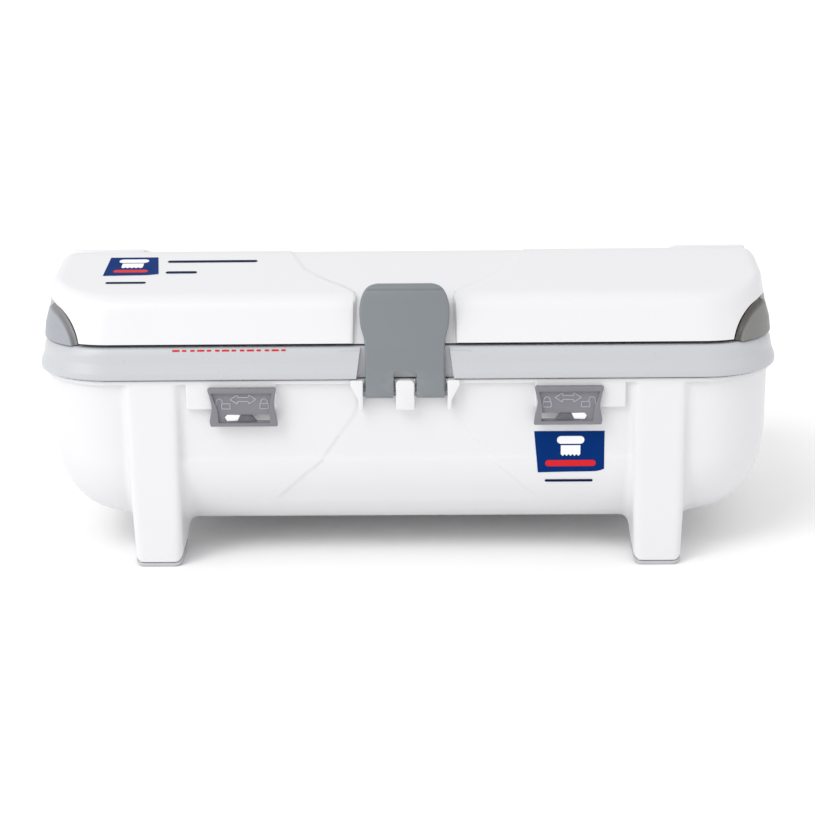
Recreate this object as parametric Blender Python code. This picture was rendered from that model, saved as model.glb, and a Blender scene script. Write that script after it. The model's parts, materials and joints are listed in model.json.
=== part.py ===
"""Counter-top cling film dispenser: a tub on four legs, a hinged insert frame with the cutter, and a lid
with a centre clip. The front faces -Y, X runs to the right, Z is up, and the feet stand on Z = 0.
Dimensions are in millimetres; MM turns them into Blender's metres when a mesh is made."""

import math

import bmesh
import bpy
from mathutils import Matrix, Vector

MM = 0.001

# Driving dimensions
FIT_GAP = 0.3                # between two fixed pieces that touch
WALL = 2.6                   # moulded wall thickness

RIM_X, RIM_Y = 210.0, 107.0  # half width and half depth of the insert frame's rim, at its bottom edge
RIM_CORNER = 45.0            # plan radius of its corners
RIM_BOTTOM, LEDGE_Z = 110.5, 128.0
DECK_TOP, DECK_BOTTOM = 121.0, 118.4

FRONT_Y = 104.5              # plane of the flange and of the legs' faces, as a half depth
FLANGE_X = 207.0
FLANGE_BOTTOM, FLANGE_TOP = 107.4, 110.2
TUB_X, TUB_Y = 206.0, 102.3  # half width and half depth of the tub's wall, at the top
DRAFT = 2.8                  # how far its long walls lean in over their straight part
WING_BOTTOM, BELLY_BOTTOM = 20.0, 17.6
WING_CORE = (174.0, 62.0)    # half width and half depth of the wings' flat underside
END_ROUND, SIDE_ROUND = 54.0, 44.0  # heights over which the ends and the long sides round under
BELLY_X, BELLY_TUCK, TUCK_HEIGHT = 170.0, 10.0, 5.0
BELLY_CORE, BELLY_SWELL, BELLY_ROUND = 61.5, 38.0, 46.4
# Heights of the rings, measured up from each part's bottom
WING_RISES = (0.0, 0.8, 3.0, 7.0, 13.0, 21.0, 32.0, 46.0, 64.0)
BELLY_RISES = (0.0, 0.6, 2.0, 5.0, 10.0, 17.0, 25.0, 33.0)
BELLY_ROOM_RISES = (0.3, 1.0, 2.4, 6.4, 11.4, 19.4, 28.4)
LEG_TOP_X = (126.0, 157.0)
LEG_FOOT_X = (128.6, 154.4)
LEG_BACK_Y, FOOT_BACK_Y = 48.0, 73.5
LEG_ROOM_X, LEG_ROOM_Y, LEG_ROOM_TOP = (131.4, 151.6), (76.5, 101.8), 21.5
PAD_FRONT, PAD_REAR = 2.0, 6.0
PLUG_FIT, PLUG_TOP = 0.4, 12.0
RAIL_X, RAIL_Y, RAIL_Z = (72.0, 122.5), (-104.4, -100.2), (92.8, 108.4)
BOSS_X, BOSS_Y, BOSS_Z = (23.4, 25.2), (-107.6, -100.5), (92.7, 109.9)
GUSSET = 5.0
TAB_HALF = 5.3

CLIP_AXIS = (-105.4, 102.3)  # (y, z) of each axis that runs along X
FRAME_AXIS = (105.3, 107.3)
LID_AXIS = (102.0, 131.3)
CLIP_BARREL, HINGE_BARREL, HINGE_PIN = 2.8, 2.9, 1.2
PRONG_X = (6.4, 22.0)
STUB, STUB_HOLE = 1.6, 1.9
FRAME_KNUCKLES = ((130.0, 136.0), (136.3, 153.7), (154.0, 160.0))
LID_KNUCKLES = ((146.0, 152.0), (152.3, 165.7), (166.0, 171.0))

# The insert frame's rim, as (height, how far it stands in from RIM_X and RIM_Y)
RIM_OUTSIDE = (
    (RIM_BOTTOM, 1.2), (RIM_BOTTOM + 1.2, 0.1), (RIM_BOTTOM + 3.0, 0.0), (116.4, 1.3), (121.0, 2.1),
    (124.6, 2.8), (126.8, 4.4), (LEDGE_Z, 7.2), (LEDGE_Z, 14.0), (DECK_TOP, 16.5),
)
RIM_INSIDE = ((DECK_BOTTOM, 14.0), (125.2, 11.4), (125.2, 7.6), (122.0, 5.2), (RIM_BOTTOM, 4.0))
WINDOW_X, WINDOW_Y, WINDOW_CORNER = 166.0, (-50.0, 66.0), 10.0
NOTCH_SIDES = ((31.0, 109.0), (24.5, 131.0))  # (x, z) of its lower and upper corners
NOTCH_BACK = -101.9
KEEPER_X, KEEPER_Y, KEEPER_Z = (70.0, 77.6), (-97.9, -95.4), (96.0, 126.4)
STRIP_X, STRIP_Y, STRIP_HEIGHT = (40.0, 165.0), (-97.6, -94.2), 0.8

# The front corners of the lid are cut away for a pad: outlines in (x, z), seen from the front
PAD_EDGE = (
    (212.0, 120.0), (185.5, 120.0), (185.5, 128.4), (187.2, 133.6), (190.2, 138.7), (194.7, 142.6),
    (200.6, 145.0), (212.0, 146.0),
)
PAD_GAP_EDGE = (
    (215.0, 120.0), (181.6, 120.0), (182.0, 129.0), (183.6, 134.6), (187.2, 141.0), (193.0, 146.0),
    (200.2, 148.6), (215.0, 149.0),
)
PAD_OUTSIDE = ((LEDGE_Z + 0.4, 207.2), (136.0, 206.4), (146.0, 203.8))  # (height, half width)
PAD_INSIDE = ((146.0, 199.2), (LEDGE_Z + 0.4, 200.8))
PAD_DEPTH_LESS = 103.2       # half width less half depth

LID_X, LID_TOP_X = 206.8, 203.0
LID_FRONT_Y, LID_BACK_Y = -102.3, 98.5
LID_BOTTOM = 129.4
SHOULDER = (-94.5, 153.0)
RIDGE = (-25.0, 167.4)
HEEL = (6.0, 10.0)            # where the lid's back starts to turn down, in from its rear bottom edge
LID_EDGE = 8.0               # rounding of the lid's ends into its top
LID_WALL = 2.5
RECESS_X, RECESS_DEPTH = 27.0, 3.0
EAR_X = (158.5, 201.5)       # the raised pads on the slope behind the ridge
EAR_Y = (5.0, 41.0)
EAR_RISE, EAR_ROOT = 3.5, 1.2  # how far they stand above the slope, and how deep they root in it
REAR_SLOPE = -0.238

SLIDER_X, SLIDER_Z = (71.5, 109.8), (84.0, 106.0)
LATCH_TRAVEL = 12.0
STEM_X, STEM_Z = (88.0, 95.0), (96.0, 101.0)
WINDOWS_X, WINDOW_Z = ((78.5, 84.0), (94.5, 102.5)), (87.4, 91.2)

# The clip's height stations: (z, half width, back, thickness)
CLIP_STATIONS = (
    (CLIP_AXIS[1], 22.0, -102.7, 5.4), (112.0, 22.0, -102.5, 4.6), (127.0, 22.0, -102.5, 4.2),
    (133.0, 22.4, -101.3, 4.0), (141.0, 24.4, -100.5, 3.8), (147.0, 24.7, -100.3, 3.6),
    (153.0, 23.6, -100.0, 3.4), (157.0, 22.0, -99.6, 3.2), (160.0, 19.9, -99.2, 3.0),
    (162.0, 17.6, -98.6, 2.4), (162.8, 15.6, -98.2, 1.4),
)

BLADE_Y, BLADE_HALF = -82.0, 150.0
BLADE_BOTTOM, BLADE_ROOT, BLADE_TIP = 122.0, 132.0, 134.0
TOOTH_PITCH = 5.0
GUARD_BOTTOM, GUARD_TOP = 129.6, 137.0
SPRING_X, SPRING_TOP = 158.0, 132.7
FEED_AXIS = (-62.0, 128.5)
FEED_RADIUS, AXLE_RADIUS = 6.0, 2.0
CRADLE_AXES = {"front": (-25.0, 33.0), "rear": (25.0, 33.0)}
CRADLE_RADIUS = 6.5
ROLLER_HALF = 148.0
BRACKET_FOOT = 2.6           # thickness of the brackets' feet
FEED_SCREW_X, CRADLE_SCREW_X = 160.0, 155.5
PRESS_Z = (140.4, 144.0)
PRESS_PAD_Z = (138.2, 140.1)
POSTS_X = (-140, -70, 0, 70, 140)

COLOURS = {
    "white_plastic": ((0.86, 0.86, 0.87), 0.32, 0.0),
    "light_grey_plastic": ((0.62, 0.64, 0.68), 0.30, 0.0),
    "mid_grey_plastic": ((0.26, 0.28, 0.30), 0.38, 0.0),
    "pad_grey_plastic": ((0.40, 0.41, 0.43), 0.40, 0.0),
    "foot_rubber": ((0.55, 0.55, 0.56), 0.65, 0.0),
    "strip_rubber": ((0.10, 0.10, 0.11), 0.75, 0.0),
    "roller_plastic": ((0.20, 0.21, 0.22), 0.45, 0.0),
    "steel": ((0.60, 0.60, 0.61), 0.25, 1.0),
}


# Shapes

def rounded(x0, x1, y0, y1, radius, steps=5):
    """Outline of a rectangle with round corners, anticlockwise from its corner at x1, y0."""
    corners = (
        (x1 - radius, y0 + radius, -90), (x1 - radius, y1 - radius, 0),
        (x0 + radius, y1 - radius, 90), (x0 + radius, y0 + radius, 180),
    )
    outline = []
    for x, y, start in corners:
        for step in range(steps + 1):
            angle = math.radians(start + 90 * step / steps)
            outline.append((x + radius * math.cos(angle), y + radius * math.sin(angle)))
    return outline


def centred(x_half, y_half, radius, steps=5):
    return rounded(-x_half, x_half, -y_half, y_half, radius, steps)


def body(name, points, faces):
    """An object from points in millimetres, with its faces turned outwards."""
    mesh = bpy.data.meshes.new(name)
    mesh.from_pydata([Vector(point) * MM for point in points], [], faces)
    work = bmesh.new()
    work.from_mesh(mesh)
    bmesh.ops.remove_doubles(work, verts=work.verts, dist=1e-6)
    bmesh.ops.recalc_face_normals(work, faces=work.faces)
    if work.calc_volume(signed=True) < 0:
        bmesh.ops.reverse_faces(work, faces=work.faces)
    work.to_mesh(mesh)
    work.free()
    made = bpy.data.objects.new(name, mesh)
    bpy.context.scene.collection.objects.link(made)
    return made


def loft(name, rings, closed=False):
    """A body through rings of equal point counts: capped at both ends, or closed on itself as a hoop."""
    count = len(rings[0])
    points = [point for ring in rings for point in ring]
    faces = []
    for row in range(len(rings) - (0 if closed else 1)):
        a, b = row * count, (row + 1) % len(rings) * count
        faces += [(a + k, a + (k + 1) % count, b + (k + 1) % count, b + k) for k in range(count)]
    if not closed:
        faces += [tuple(range(count)), tuple(range(len(points) - count, len(points)))]
    return body(name, points, faces)


def level(z, outline):
    return [(x, y, z) for x, y in outline]


def prism(name, outline, axis, start, end):
    """An outline extruded along an axis: its two numbers are the other two coordinates, in X, Y, Z order."""
    place = {
        "X": lambda a, b, depth: (depth, a, b),
        "Y": lambda a, b, depth: (a, depth, b),
        "Z": lambda a, b, depth: (a, b, depth),
    }[axis]
    return loft(name, [[place(a, b, depth) for a, b in outline] for depth in (start, end)])


def block(name, x, y, z, edge=0.0):
    """A box between pairs of coordinates, with its edges rounded off by edge."""
    made = prism(name, [(x[0], y[0]), (x[1], y[0]), (x[1], y[1]), (x[0], y[1])], "Z", z[0], z[1])
    if edge:
        soften(made, edge)
    return made


def circle(centre, radius, sides=16):
    turns = [math.tau * (k + 0.5) / sides for k in range(sides)]
    return [(centre[0] + radius * math.cos(t), centre[1] + radius * math.sin(t)) for t in turns]


def rod(name, radius, axis_yz, x, sides=16):
    """A round bar along X."""
    return prism(name, circle(axis_yz, radius, sides), "X", x[0], x[1])


def tube(name, radius, bore, axis_yz, x, sides=24):
    """A round sleeve along X."""
    rings = []
    for size, depth in ((radius, x[0]), (radius, x[1]), (bore, x[1]), (bore, x[0])):
        rings.append([(depth, y, z) for y, z in circle(axis_yz, size, sides)])
    return loft(name, rings, closed=True)


def pin_hole(axis_yz, side, low_high):
    """The cutter for a hinge pin's bore, a little longer than the knuckles it goes through."""
    return rod("pin_hole", HINGE_PIN + FIT_GAP, axis_yz, span(side, (low_high[0] - 1, low_high[1] + 1)))


def hinge_pin(name, axis_yz, side, knuckles):
    ends = (knuckles[0][0] - 0.4, knuckles[2][1] + 0.4)
    return rod(name, HINGE_PIN, axis_yz, span(side, ends), 12)


def soften(made, width, segments=2):
    """Rounds a body's sharp edges."""
    modifier = made.modifiers.new("edge", "BEVEL")
    modifier.width = width * MM
    modifier.segments = segments
    modifier.limit_method = "ANGLE"
    modifier.angle_limit = math.radians(40)
    settle(made)


def settle(made):
    """Replaces an object's mesh by what its modifiers make of it."""
    graph = bpy.context.evaluated_depsgraph_get()
    before = made.data
    made.data = bpy.data.meshes.new_from_object(made.evaluated_get(graph))
    made.modifiers.clear()
    bpy.data.meshes.remove(before)


def combine(made, tool, operation):
    modifier = made.modifiers.new(operation, "BOOLEAN")
    modifier.operation = operation
    modifier.solver = "EXACT"
    modifier.object = tool
    settle(made)
    bpy.data.objects.remove(tool)


def add(made, *tools):
    for tool in tools:
        combine(made, tool, "UNION")


def cut(made, *tools):
    for tool in tools:
        combine(made, tool, "DIFFERENCE")


def span(side, low_high):
    """A pair of distances from the middle, as coordinates on the side +1 or -1, in rising order."""
    return tuple(sorted(side * value for value in low_high))


def corner_path(corners):
    """A path through corners (a, b, radius) with each one rounded by an arc of five points."""
    path = [corners[0][:2]]
    for before, here, after in zip(corners, corners[1:], corners[2:]):
        corner = Vector(here[:2])
        back = (Vector(before[:2]) - corner).normalized()
        ahead = (Vector(after[:2]) - corner).normalized()
        half = back.angle(ahead) / 2
        reach = here[2] / math.tan(half)
        centre = corner + (back + ahead).normalized() * here[2] / math.sin(half)
        start, end = corner + back * reach - centre, corner + ahead * reach - centre
        first = math.atan2(start.y, start.x)
        sweep = math.atan2(start.x * end.y - start.y * end.x, start.dot(end)) if here[2] else 0.0
        for step in range(5):
            angle = first + sweep * step / 4
            path.append((centre.x + here[2] * math.cos(angle), centre.y + here[2] * math.sin(angle)))
    path.append(corners[-1][:2])
    return path


# The tub

def wing_size(z):
    """Half width and half depth of the tub's outside at a height, where its ends round under."""
    end = max(0.0, 1 - (z - WING_BOTTOM) / END_ROUND)
    front = max(0.0, 1 - (z - WING_BOTTOM) / SIDE_ROUND)
    straight = WING_BOTTOM + SIDE_ROUND
    drafted = TUB_Y - DRAFT * (1 - max(0.0, z - straight) / (FLANGE_TOP - straight))
    x = WING_CORE[0] + (TUB_X - WING_CORE[0]) * math.sqrt(1 - end ** 2)
    return x, WING_CORE[1] + (drafted - WING_CORE[1]) * math.sqrt(1 - front ** 2)


def belly_size(z):
    """The same for the deeper part under the film roll."""
    low = 1 - (z - BELLY_BOTTOM) / BELLY_ROUND
    tuck = 1 - min(1.0, (z - BELLY_BOTTOM) / TUCK_HEIGHT)
    return BELLY_X - BELLY_TUCK * tuck ** 2, BELLY_CORE + BELLY_SWELL * math.sqrt(1 - low ** 2)


def tub_solid(name, size, heights, inset, lift):
    """The loft of a size rule between heights, drawn in by inset and raised by lift."""
    rings = []
    for z in heights:
        x, y = size(z)
        radius = min(42.0, (x - LEG_TOP_X[0]) * 0.52 + 2)
        rings.append(level(z + lift, centred(x - inset, y - inset, max(radius - inset, 8.0))))
    return loft(name, rings)


def leg(name, side, end):
    """A leg of the tub, from its foot up into the tub's wall."""
    stations = (
        (PAD_FRONT + FIT_GAP, LEG_FOOT_X, FOOT_BACK_Y),
        (24.0, (127.9, 155.2), 62.0),
        (40.0, (127.4, 155.8), LEG_BACK_Y),
        (FLANGE_TOP - 0.6, LEG_TOP_X, LEG_BACK_Y),
    )
    rings = []
    for z, x, back in stations:
        x0, x1 = span(side, x)
        y0, y1 = span(end, (back, FRONT_Y))
        rings.append(level(z, rounded(x0, x1, y0, y1, 4.0, 3)))
    return loft(name, rings)


def foot_wedge(name, side, end, inset, front, rear, top):
    """The solid between a slanted sole joint and the height top: it rises from front to rear."""
    x0, x1 = span(side, LEG_FOOT_X)
    y0, y1 = span(end, (FOOT_BACK_Y, FRONT_Y))
    outline = rounded(x0 + inset, x1 - inset, y0 + inset, y1 - inset, 4.0, 3)
    depth = FRONT_Y - FOOT_BACK_Y
    rings = [[], []]
    for x, y in outline:
        share = (FRONT_Y - abs(y)) / depth
        joint = front + (rear - front) * share
        rings[0].append((x, y, top if top < joint else joint))
        rings[1].append((x, y, joint if top < joint else top))
    return loft(name, rings)


def boss(name, side):
    """A bearing block for the clip, with a gusset on its outer side."""
    inner, outer = BOSS_X
    bottom, top = BOSS_Z
    outline = [
        (side * inner, bottom), (side * outer, bottom), (side * (outer + GUSSET), top - 1.9),
        (side * (outer + GUSSET), top), (side * inner, top),
    ]
    made = prism(name, outline, "Y", *BOSS_Y)
    soften(made, 0.8)
    return made


def make_tub():
    heights = [WING_BOTTOM + rise for rise in WING_RISES]
    tub = tub_solid("base_tub", wing_size, (*heights, FLANGE_TOP - 0.4), 0.0, 0.0)
    belly_heights = [BELLY_BOTTOM + rise for rise in BELLY_RISES]
    add(tub, tub_solid("belly", belly_size, belly_heights, 0.0, 0.0))
    flange = (
        (FLANGE_BOTTOM, 0.4), (FLANGE_BOTTOM + 0.4, 0), (FLANGE_TOP - 0.5, 0), (FLANGE_TOP, 0.5),
    )
    flange_rings = [
        level(z, centred(FLANGE_X - inset, FRONT_Y - inset, RIM_CORNER - 2 - inset)) for z, inset in flange
    ]
    add(tub, loft("flange", flange_rings))
    for side in (-1, 1):
        for end in (-1, 1):
            add(tub, leg("leg", side, end))
        add(tub, block("rail", span(side, RAIL_X), RAIL_Y, RAIL_Z, edge=0.6))
        add(tub, boss("outer_boss", side))
        for low, high in (FRAME_KNUCKLES[0], FRAME_KNUCKLES[2]):
            add(tub, rod("knuckle", HINGE_BARREL, FRAME_AXIS, span(side, (low, high))))
            add(tub, block("web", span(side, (low, high)), (101.0, 105.3), (104.6, 109.9)))
    add(tub, block("centre_tab", (-TAB_HALF, TAB_HALF), BOSS_Y, BOSS_Z, edge=1.2))

    cut(tub, tub_solid("wing_room", wing_size, (*heights, FLANGE_TOP + 1.8), WALL, WALL))
    room_heights = [BELLY_BOTTOM + rise for rise in BELLY_ROOM_RISES]
    cut(tub, tub_solid("belly_room", belly_size, room_heights, WALL, WALL))
    for side in (-1, 1):
        for end in (-1, 1):
            cut(tub, foot_wedge("sole_joint", side, end, -4.0, PAD_FRONT + 0.3, PAD_REAR + 0.3, -5.0))
            room = rounded(*span(side, LEG_ROOM_X), *span(end, LEG_ROOM_Y), 3.0, 3)
            cut(tub, prism("leg_room", room, "Z", 0.0, LEG_ROOM_TOP))
        slot_x = span(side, (STEM_X[0] - 0.6, STEM_X[1] + LATCH_TRAVEL + 0.6))
        cut(tub, block("stem_slot", slot_x, (-107, -95), (STEM_Z[0] - 0.5, STEM_Z[1] + 0.5)))
        cut(tub, rod("socket", STUB_HOLE, CLIP_AXIS, span(side, (PRONG_X[1], 25.9))))
        prong_x = span(side, (PRONG_X[0] - 0.8, PRONG_X[1] + 0.8))
        cut(tub, block("prong_room", prong_x, (-110, -102.25), (98, 112)))
        middle = FRAME_KNUCKLES[1]
        knuckle_x = span(side, (middle[0] - 0.2, middle[1] + 0.2))
        cut(tub, block("frame_knuckle_room", knuckle_x, (101.9, 110), (103.5, 112)))
        cut(tub, pin_hole(FRAME_AXIS, side, (FRAME_KNUCKLES[0][0], FRAME_KNUCKLES[2][1])))
    cut(tub, rod("tab_hole", STUB_HOLE, CLIP_AXIS, (-7, 7)))
    return tub


def foot_pad(name, side, end):
    """A wedge that closes the leg, with a plug that goes up inside it."""
    pad = foot_wedge(name, side, end, 0.0, PAD_FRONT, PAD_REAR, 0.0)
    x = (LEG_ROOM_X[0] + PLUG_FIT, LEG_ROOM_X[1] - PLUG_FIT)
    y = (LEG_ROOM_Y[0] + PLUG_FIT, LEG_ROOM_Y[1] - PLUG_FIT)
    add(pad, prism("plug", rounded(*span(side, x), *span(end, y), 2.6, 3), "Z", 1.0, PLUG_TOP))
    return pad


# The insert frame

def rim_rings(profile):
    """The rim's outline at each (height, inset) of a profile."""
    return [level(z, centred(RIM_X - inset, RIM_Y - inset, RIM_CORNER - inset)) for z, inset in profile]


def make_frame():
    window = rounded(-WINDOW_X, WINDOW_X, *WINDOW_Y, WINDOW_CORNER)
    deck = [level(DECK_TOP, window), level(DECK_BOTTOM, window)]
    frame = loft("insert_frame", rim_rings(RIM_OUTSIDE) + deck + rim_rings(RIM_INSIDE), closed=True)

    add(frame, block("clip_backing", (-36, 36), (-104.0, -98.5), (RIM_BOTTOM, 126.0)))
    (low_x, low_z), (high_x, high_z) = NOTCH_SIDES
    notch = [(-low_x, low_z), (low_x, low_z), (high_x, high_z), (-high_x, high_z)]
    cut(frame, prism("clip_notch", notch, "Y", -112, NOTCH_BACK))
    for side in (-1, 1):
        middle = span(side, FRAME_KNUCKLES[1])
        add(frame, rod("knuckle", HINGE_BARREL, FRAME_AXIS, middle))
        add(frame, block("web", middle, (102.6, 106.6), (FRAME_AXIS[1], RIM_BOTTOM + 2)))
        cut(frame, pin_hole(FRAME_AXIS, side, FRAME_KNUCKLES[1]))
        for low_high in (LID_KNUCKLES[0], LID_KNUCKLES[2]):
            add(frame, rod("knuckle", HINGE_BARREL, LID_AXIS, span(side, low_high)))
            add(frame, block("web", span(side, low_high), (99.2, 104.4), (125.6, LID_AXIS[1])))
            cut(frame, pin_hole(LID_AXIS, side, low_high))
        add(frame, block("keeper", span(side, KEEPER_X), KEEPER_Y, KEEPER_Z, edge=0.4))
    return frame


def corner_pad(name, side):
    """The grey piece that fills the cut-away corner of the lid."""
    rings = [level(z, centred(x, x - PAD_DEPTH_LESS, RIM_CORNER - 2)) for z, x in PAD_OUTSIDE]
    rings += [level(z, centred(x, x - PAD_DEPTH_LESS, RIM_CORNER - 6)) for z, x in PAD_INSIDE]
    pad = loft(name, rings, closed=True)
    outline = [(side * x, z) for x, z in PAD_EDGE]
    combine(pad, prism("pad_shape", outline, "Y", -112, -64.5), "INTERSECT")
    return pad


# The lid

def lid_rings(inset):
    """Cross-sections of the lid from end to end, drawn in by inset to give its inside."""
    half = LID_X - inset
    corner, edge = RIM_CORNER - 3 - inset, LID_EDGE
    fronts = [corner * (1 - math.sin(math.radians(angle))) for angle in range(0, 91, 15)]
    stations = [(gap, True) for gap in reversed(fronts)]
    stations += [(half - x, False) for x in (RECESS_X + 3.5, RECESS_X)]
    rings = []
    for side in (-1, 1):
        row = []
        for gap, at_end in stations:
            x = half - gap
            round_in = corner - math.sqrt(corner ** 2 - (corner - gap) ** 2) if gap < corner else 0.0
            fall = edge - math.sqrt(edge ** 2 - (edge - gap) ** 2) if gap < edge else 0.0
            if x < RECESS_X + 0.1:
                round_in = RECESS_DEPTH
            row.append(lid_section(side * x, round_in, fall, inset))
        rings += row if side < 0 else row[::-1]
    return rings


def lid_section(x, round_in, fall, inset):
    """One cross-section: the front wall moved back by round_in and the top lowered by fall."""
    front = LID_FRONT_Y + inset + round_in
    lean = (SHOULDER[0] - LID_FRONT_Y) / (SHOULDER[1] - LID_BOTTOM)
    rise = (RIDGE[1] - SHOULDER[1]) / (RIDGE[0] - SHOULDER[0])
    top_at = SHOULDER[1] - inset - fall + rise * (front - LID_FRONT_Y)
    shoulder_z = (top_at - rise * lean * LID_BOTTOM) / (1 - rise * lean)
    shoulder_y = front + lean * (shoulder_z - LID_BOTTOM)
    back = LID_BACK_Y - inset - round_in * 0.3
    corners = (
        (front, LID_BOTTOM, 0),
        (shoulder_y, shoulder_z, 12.0 - inset),
        (RIDGE[0], RIDGE[1] - inset - fall, 40.0),
        (back - HEEL[0], LID_BOTTOM + HEEL[1] - (inset + fall) / 2, 5.0),
        (back, LID_BOTTOM, 0),
    )
    ring = []
    for y, z in corner_path(corners):
        share = min(1.0, (z - LID_BOTTOM) / (SHOULDER[1] - LID_BOTTOM))
        taper = 1 - (1 - LID_TOP_X / LID_X) * share
        ring.append((x * taper, y, z))
    return ring


def ear(side):
    """A raised pad along the slope behind the ridge, near one end of the lid."""
    outline = []
    for y, rise in ((EAR_Y[0], -EAR_ROOT), (EAR_Y[1], -EAR_ROOT), (EAR_Y[1], EAR_RISE), (EAR_Y[0], EAR_RISE)):
        outline.append((y, RIDGE[1] + REAR_SLOPE * (y - RIDGE[0]) + rise))
    made = prism("ear", outline, "X", *span(side, EAR_X))
    soften(made, 1.0)
    return made


def make_lid():
    outer, inner = lid_rings(0.0), lid_rings(LID_WALL)
    count, stations = len(outer[0]), len(outer)
    points = [point for ring in outer + inner for point in ring]
    inside = count * stations
    faces = []
    for shift in (0, inside):
        for row in range(stations - 1):
            for k in range(count - 1):
                a = shift + row * count + k
                faces.append((a, a + 1, a + count + 1, a + count))
        faces.append(tuple(shift + k for k in range(count)))
        faces.append(tuple(shift + (stations - 1) * count + k for k in range(count)))
    for row in range(stations - 1):
        for k in (0, count - 1):
            a = row * count + k
            faces.append((a, a + count, inside + a + count, inside + a))
    for row in (0, stations - 1):
        a, b = row * count, row * count + count - 1
        faces.append((a, b, inside + b, inside + a))
    lid = body("lid_shell", points, faces)

    for side in (-1, 1):
        outline = [(side * x, z) for x, z in PAD_GAP_EDGE]
        cut(lid, prism("pad_gap", outline, "Y", -115, -61.5))
        add(lid, ear(side))
        middle = span(side, LID_KNUCKLES[1])
        add(lid, rod("knuckle", HINGE_BARREL, LID_AXIS, middle))
        add(lid, block("web", middle, (95.2, 102.0), (130.2, 134.1)))
        cut(lid, pin_hole(LID_AXIS, side, LID_KNUCKLES[1]))
    return lid


# The clip and the latches

def make_clip():
    """The clip: its back follows the lid's swing, a little in front of it."""
    rings = [level(z, rounded(-x, x, y - thick, y, 0.65, 2)) for z, x, y, thick in CLIP_STATIONS]
    clip = loft("center_clip", rings)
    inner, outer = PRONG_X
    add(clip, rod("barrel", CLIP_BARREL, CLIP_AXIS, (-outer, outer)))
    notch = [(-inner, 96), (inner, 96), (inner, 113), (inner - 2, 115), (2 - inner, 115), (-inner, 113)]
    cut(clip, prism("notch", notch, "Y", -112, -98))
    for side in (-1, 1):
        add(clip, rod("inner_stub", STUB, CLIP_AXIS, span(side, (3.4, inner + 1))))
        add(clip, rod("outer_stub", STUB, CLIP_AXIS, span(side, (outer - 1, 25.5))))
    return clip


def latch_slider(name, side):
    """A sliding latch: a waisted plate with raised sides and top, and a window along its foot."""
    inner, outer = SLIDER_X
    bottom, top = SLIDER_Z
    waist = (bottom + top) / 2
    edge = [
        (inner, bottom), (outer - 0.8, bottom), (outer - 0.8, bottom + 3), (outer - 2.2, waist),
        (outer, top - 1.5), (outer, top), (inner, top), (inner, top - 1.5), (inner + 2.0, waist),
        (inner - 0.4, bottom + 3),
    ]
    slider = prism(name, [(side * x, z) for x, z in edge], "Y", -108.0, -104.8)
    soften(slider, 0.5)
    face = [
        (inner + 4.2, bottom + 3.2), (outer - 4.2, bottom + 3.2), (outer - 4.6, waist),
        (outer - 3.0, top - 2.6), (inner + 3.0, top - 2.6), (inner + 4.6, waist),
    ]
    cut(slider, prism("face", [(side * x, z) for x, z in face], "Y", -110, -106.9))
    for window_x in WINDOWS_X:
        cut(slider, block("window", span(side, window_x), (-110, -103), WINDOW_Z))
    add(slider, block("stem", span(side, STEM_X), (-106.0, -98.8), STEM_Z, edge=0.4))
    return slider


def latch_bolt(name, side):
    """The plate on the stem's end, inside the tub, whose nose goes to the frame's keeper."""
    plate = block(name, span(side, (84.0, 103.0)), (-98.5, -96.4), (94.4, 102.6), edge=0.4)
    nose_x = span(side, (KEEPER_X[1] + 0.4, 86.0))
    add(plate, block("nose", nose_x, (-98.2, -96.7), (97.0, 101.0), edge=0.3))
    return plate


# The cutter and the rollers

def make_blade():
    """A steel strip with a row of teeth."""
    teeth = int(2 * BLADE_HALF / TOOTH_PITCH)
    outline = [(-BLADE_HALF, BLADE_BOTTOM), (BLADE_HALF, BLADE_BOTTOM)]
    for tooth in range(teeth, 0, -1):
        x = tooth * TOOTH_PITCH - BLADE_HALF
        outline += [(x, BLADE_ROOT), (x - TOOTH_PITCH / 2, BLADE_TIP)]
    outline.append((-BLADE_HALF, BLADE_ROOT))
    return prism("blade", outline, "Y", BLADE_Y - 0.35, BLADE_Y + 0.35)


def make_blade_holder():
    z = (DECK_TOP + FIT_GAP, 127.5)
    end, slot_end = BLADE_HALF + 1.5, BLADE_HALF + 0.4
    holder = block("blade_holder", (-end, end), (BLADE_Y - 3, BLADE_Y + 3), z, edge=0.5)
    slot_y = (BLADE_Y - 0.7, BLADE_Y + 0.7)
    cut(holder, block("slot", (-slot_end, slot_end), slot_y, (BLADE_BOTTOM - 0.35, 130)))
    return holder


def make_guard():
    """The sprung cover over the teeth: an inverted channel with a slot along its top."""
    z = (GUARD_BOTTOM, GUARD_TOP)
    guard = block("blade_guard", (-163, 163), (BLADE_Y - 6, BLADE_Y + 6), z, edge=0.8)
    cut(guard, block("channel", (-153, 153), (BLADE_Y - 3.8, BLADE_Y + 3.8), (125, 135.0)))
    cut(guard, block("slot", (-151.5, 151.5), (BLADE_Y - 1.3, BLADE_Y + 1.3), (133, 139)))
    for side in (-1, 1):
        cut(guard, prism("spring_pocket", circle((side * SPRING_X, BLADE_Y), 3.6, 12), "Z", 125, 133.0))
    return guard


def coil_spring(name, centre, z_low, z_high, turns=4, radius=2.4, wire=0.5):
    """A helical spring with its axis upright."""
    steps, sides = turns * 9, 4
    rings = []
    for step in range(steps + 1):
        share = step / steps
        turn = math.tau * turns * share
        out = Vector((math.cos(turn), math.sin(turn), 0))
        middle = Vector((*centre, z_low + wire + (z_high - z_low - 2 * wire) * share)) + out * radius
        ring = []
        for k in range(sides):
            angle = math.tau * k / sides
            ring.append(middle + wire * (out * math.cos(angle) + Vector((0, 0, math.sin(angle)))))
        rings.append(ring)
    return loft(name, rings)


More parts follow.
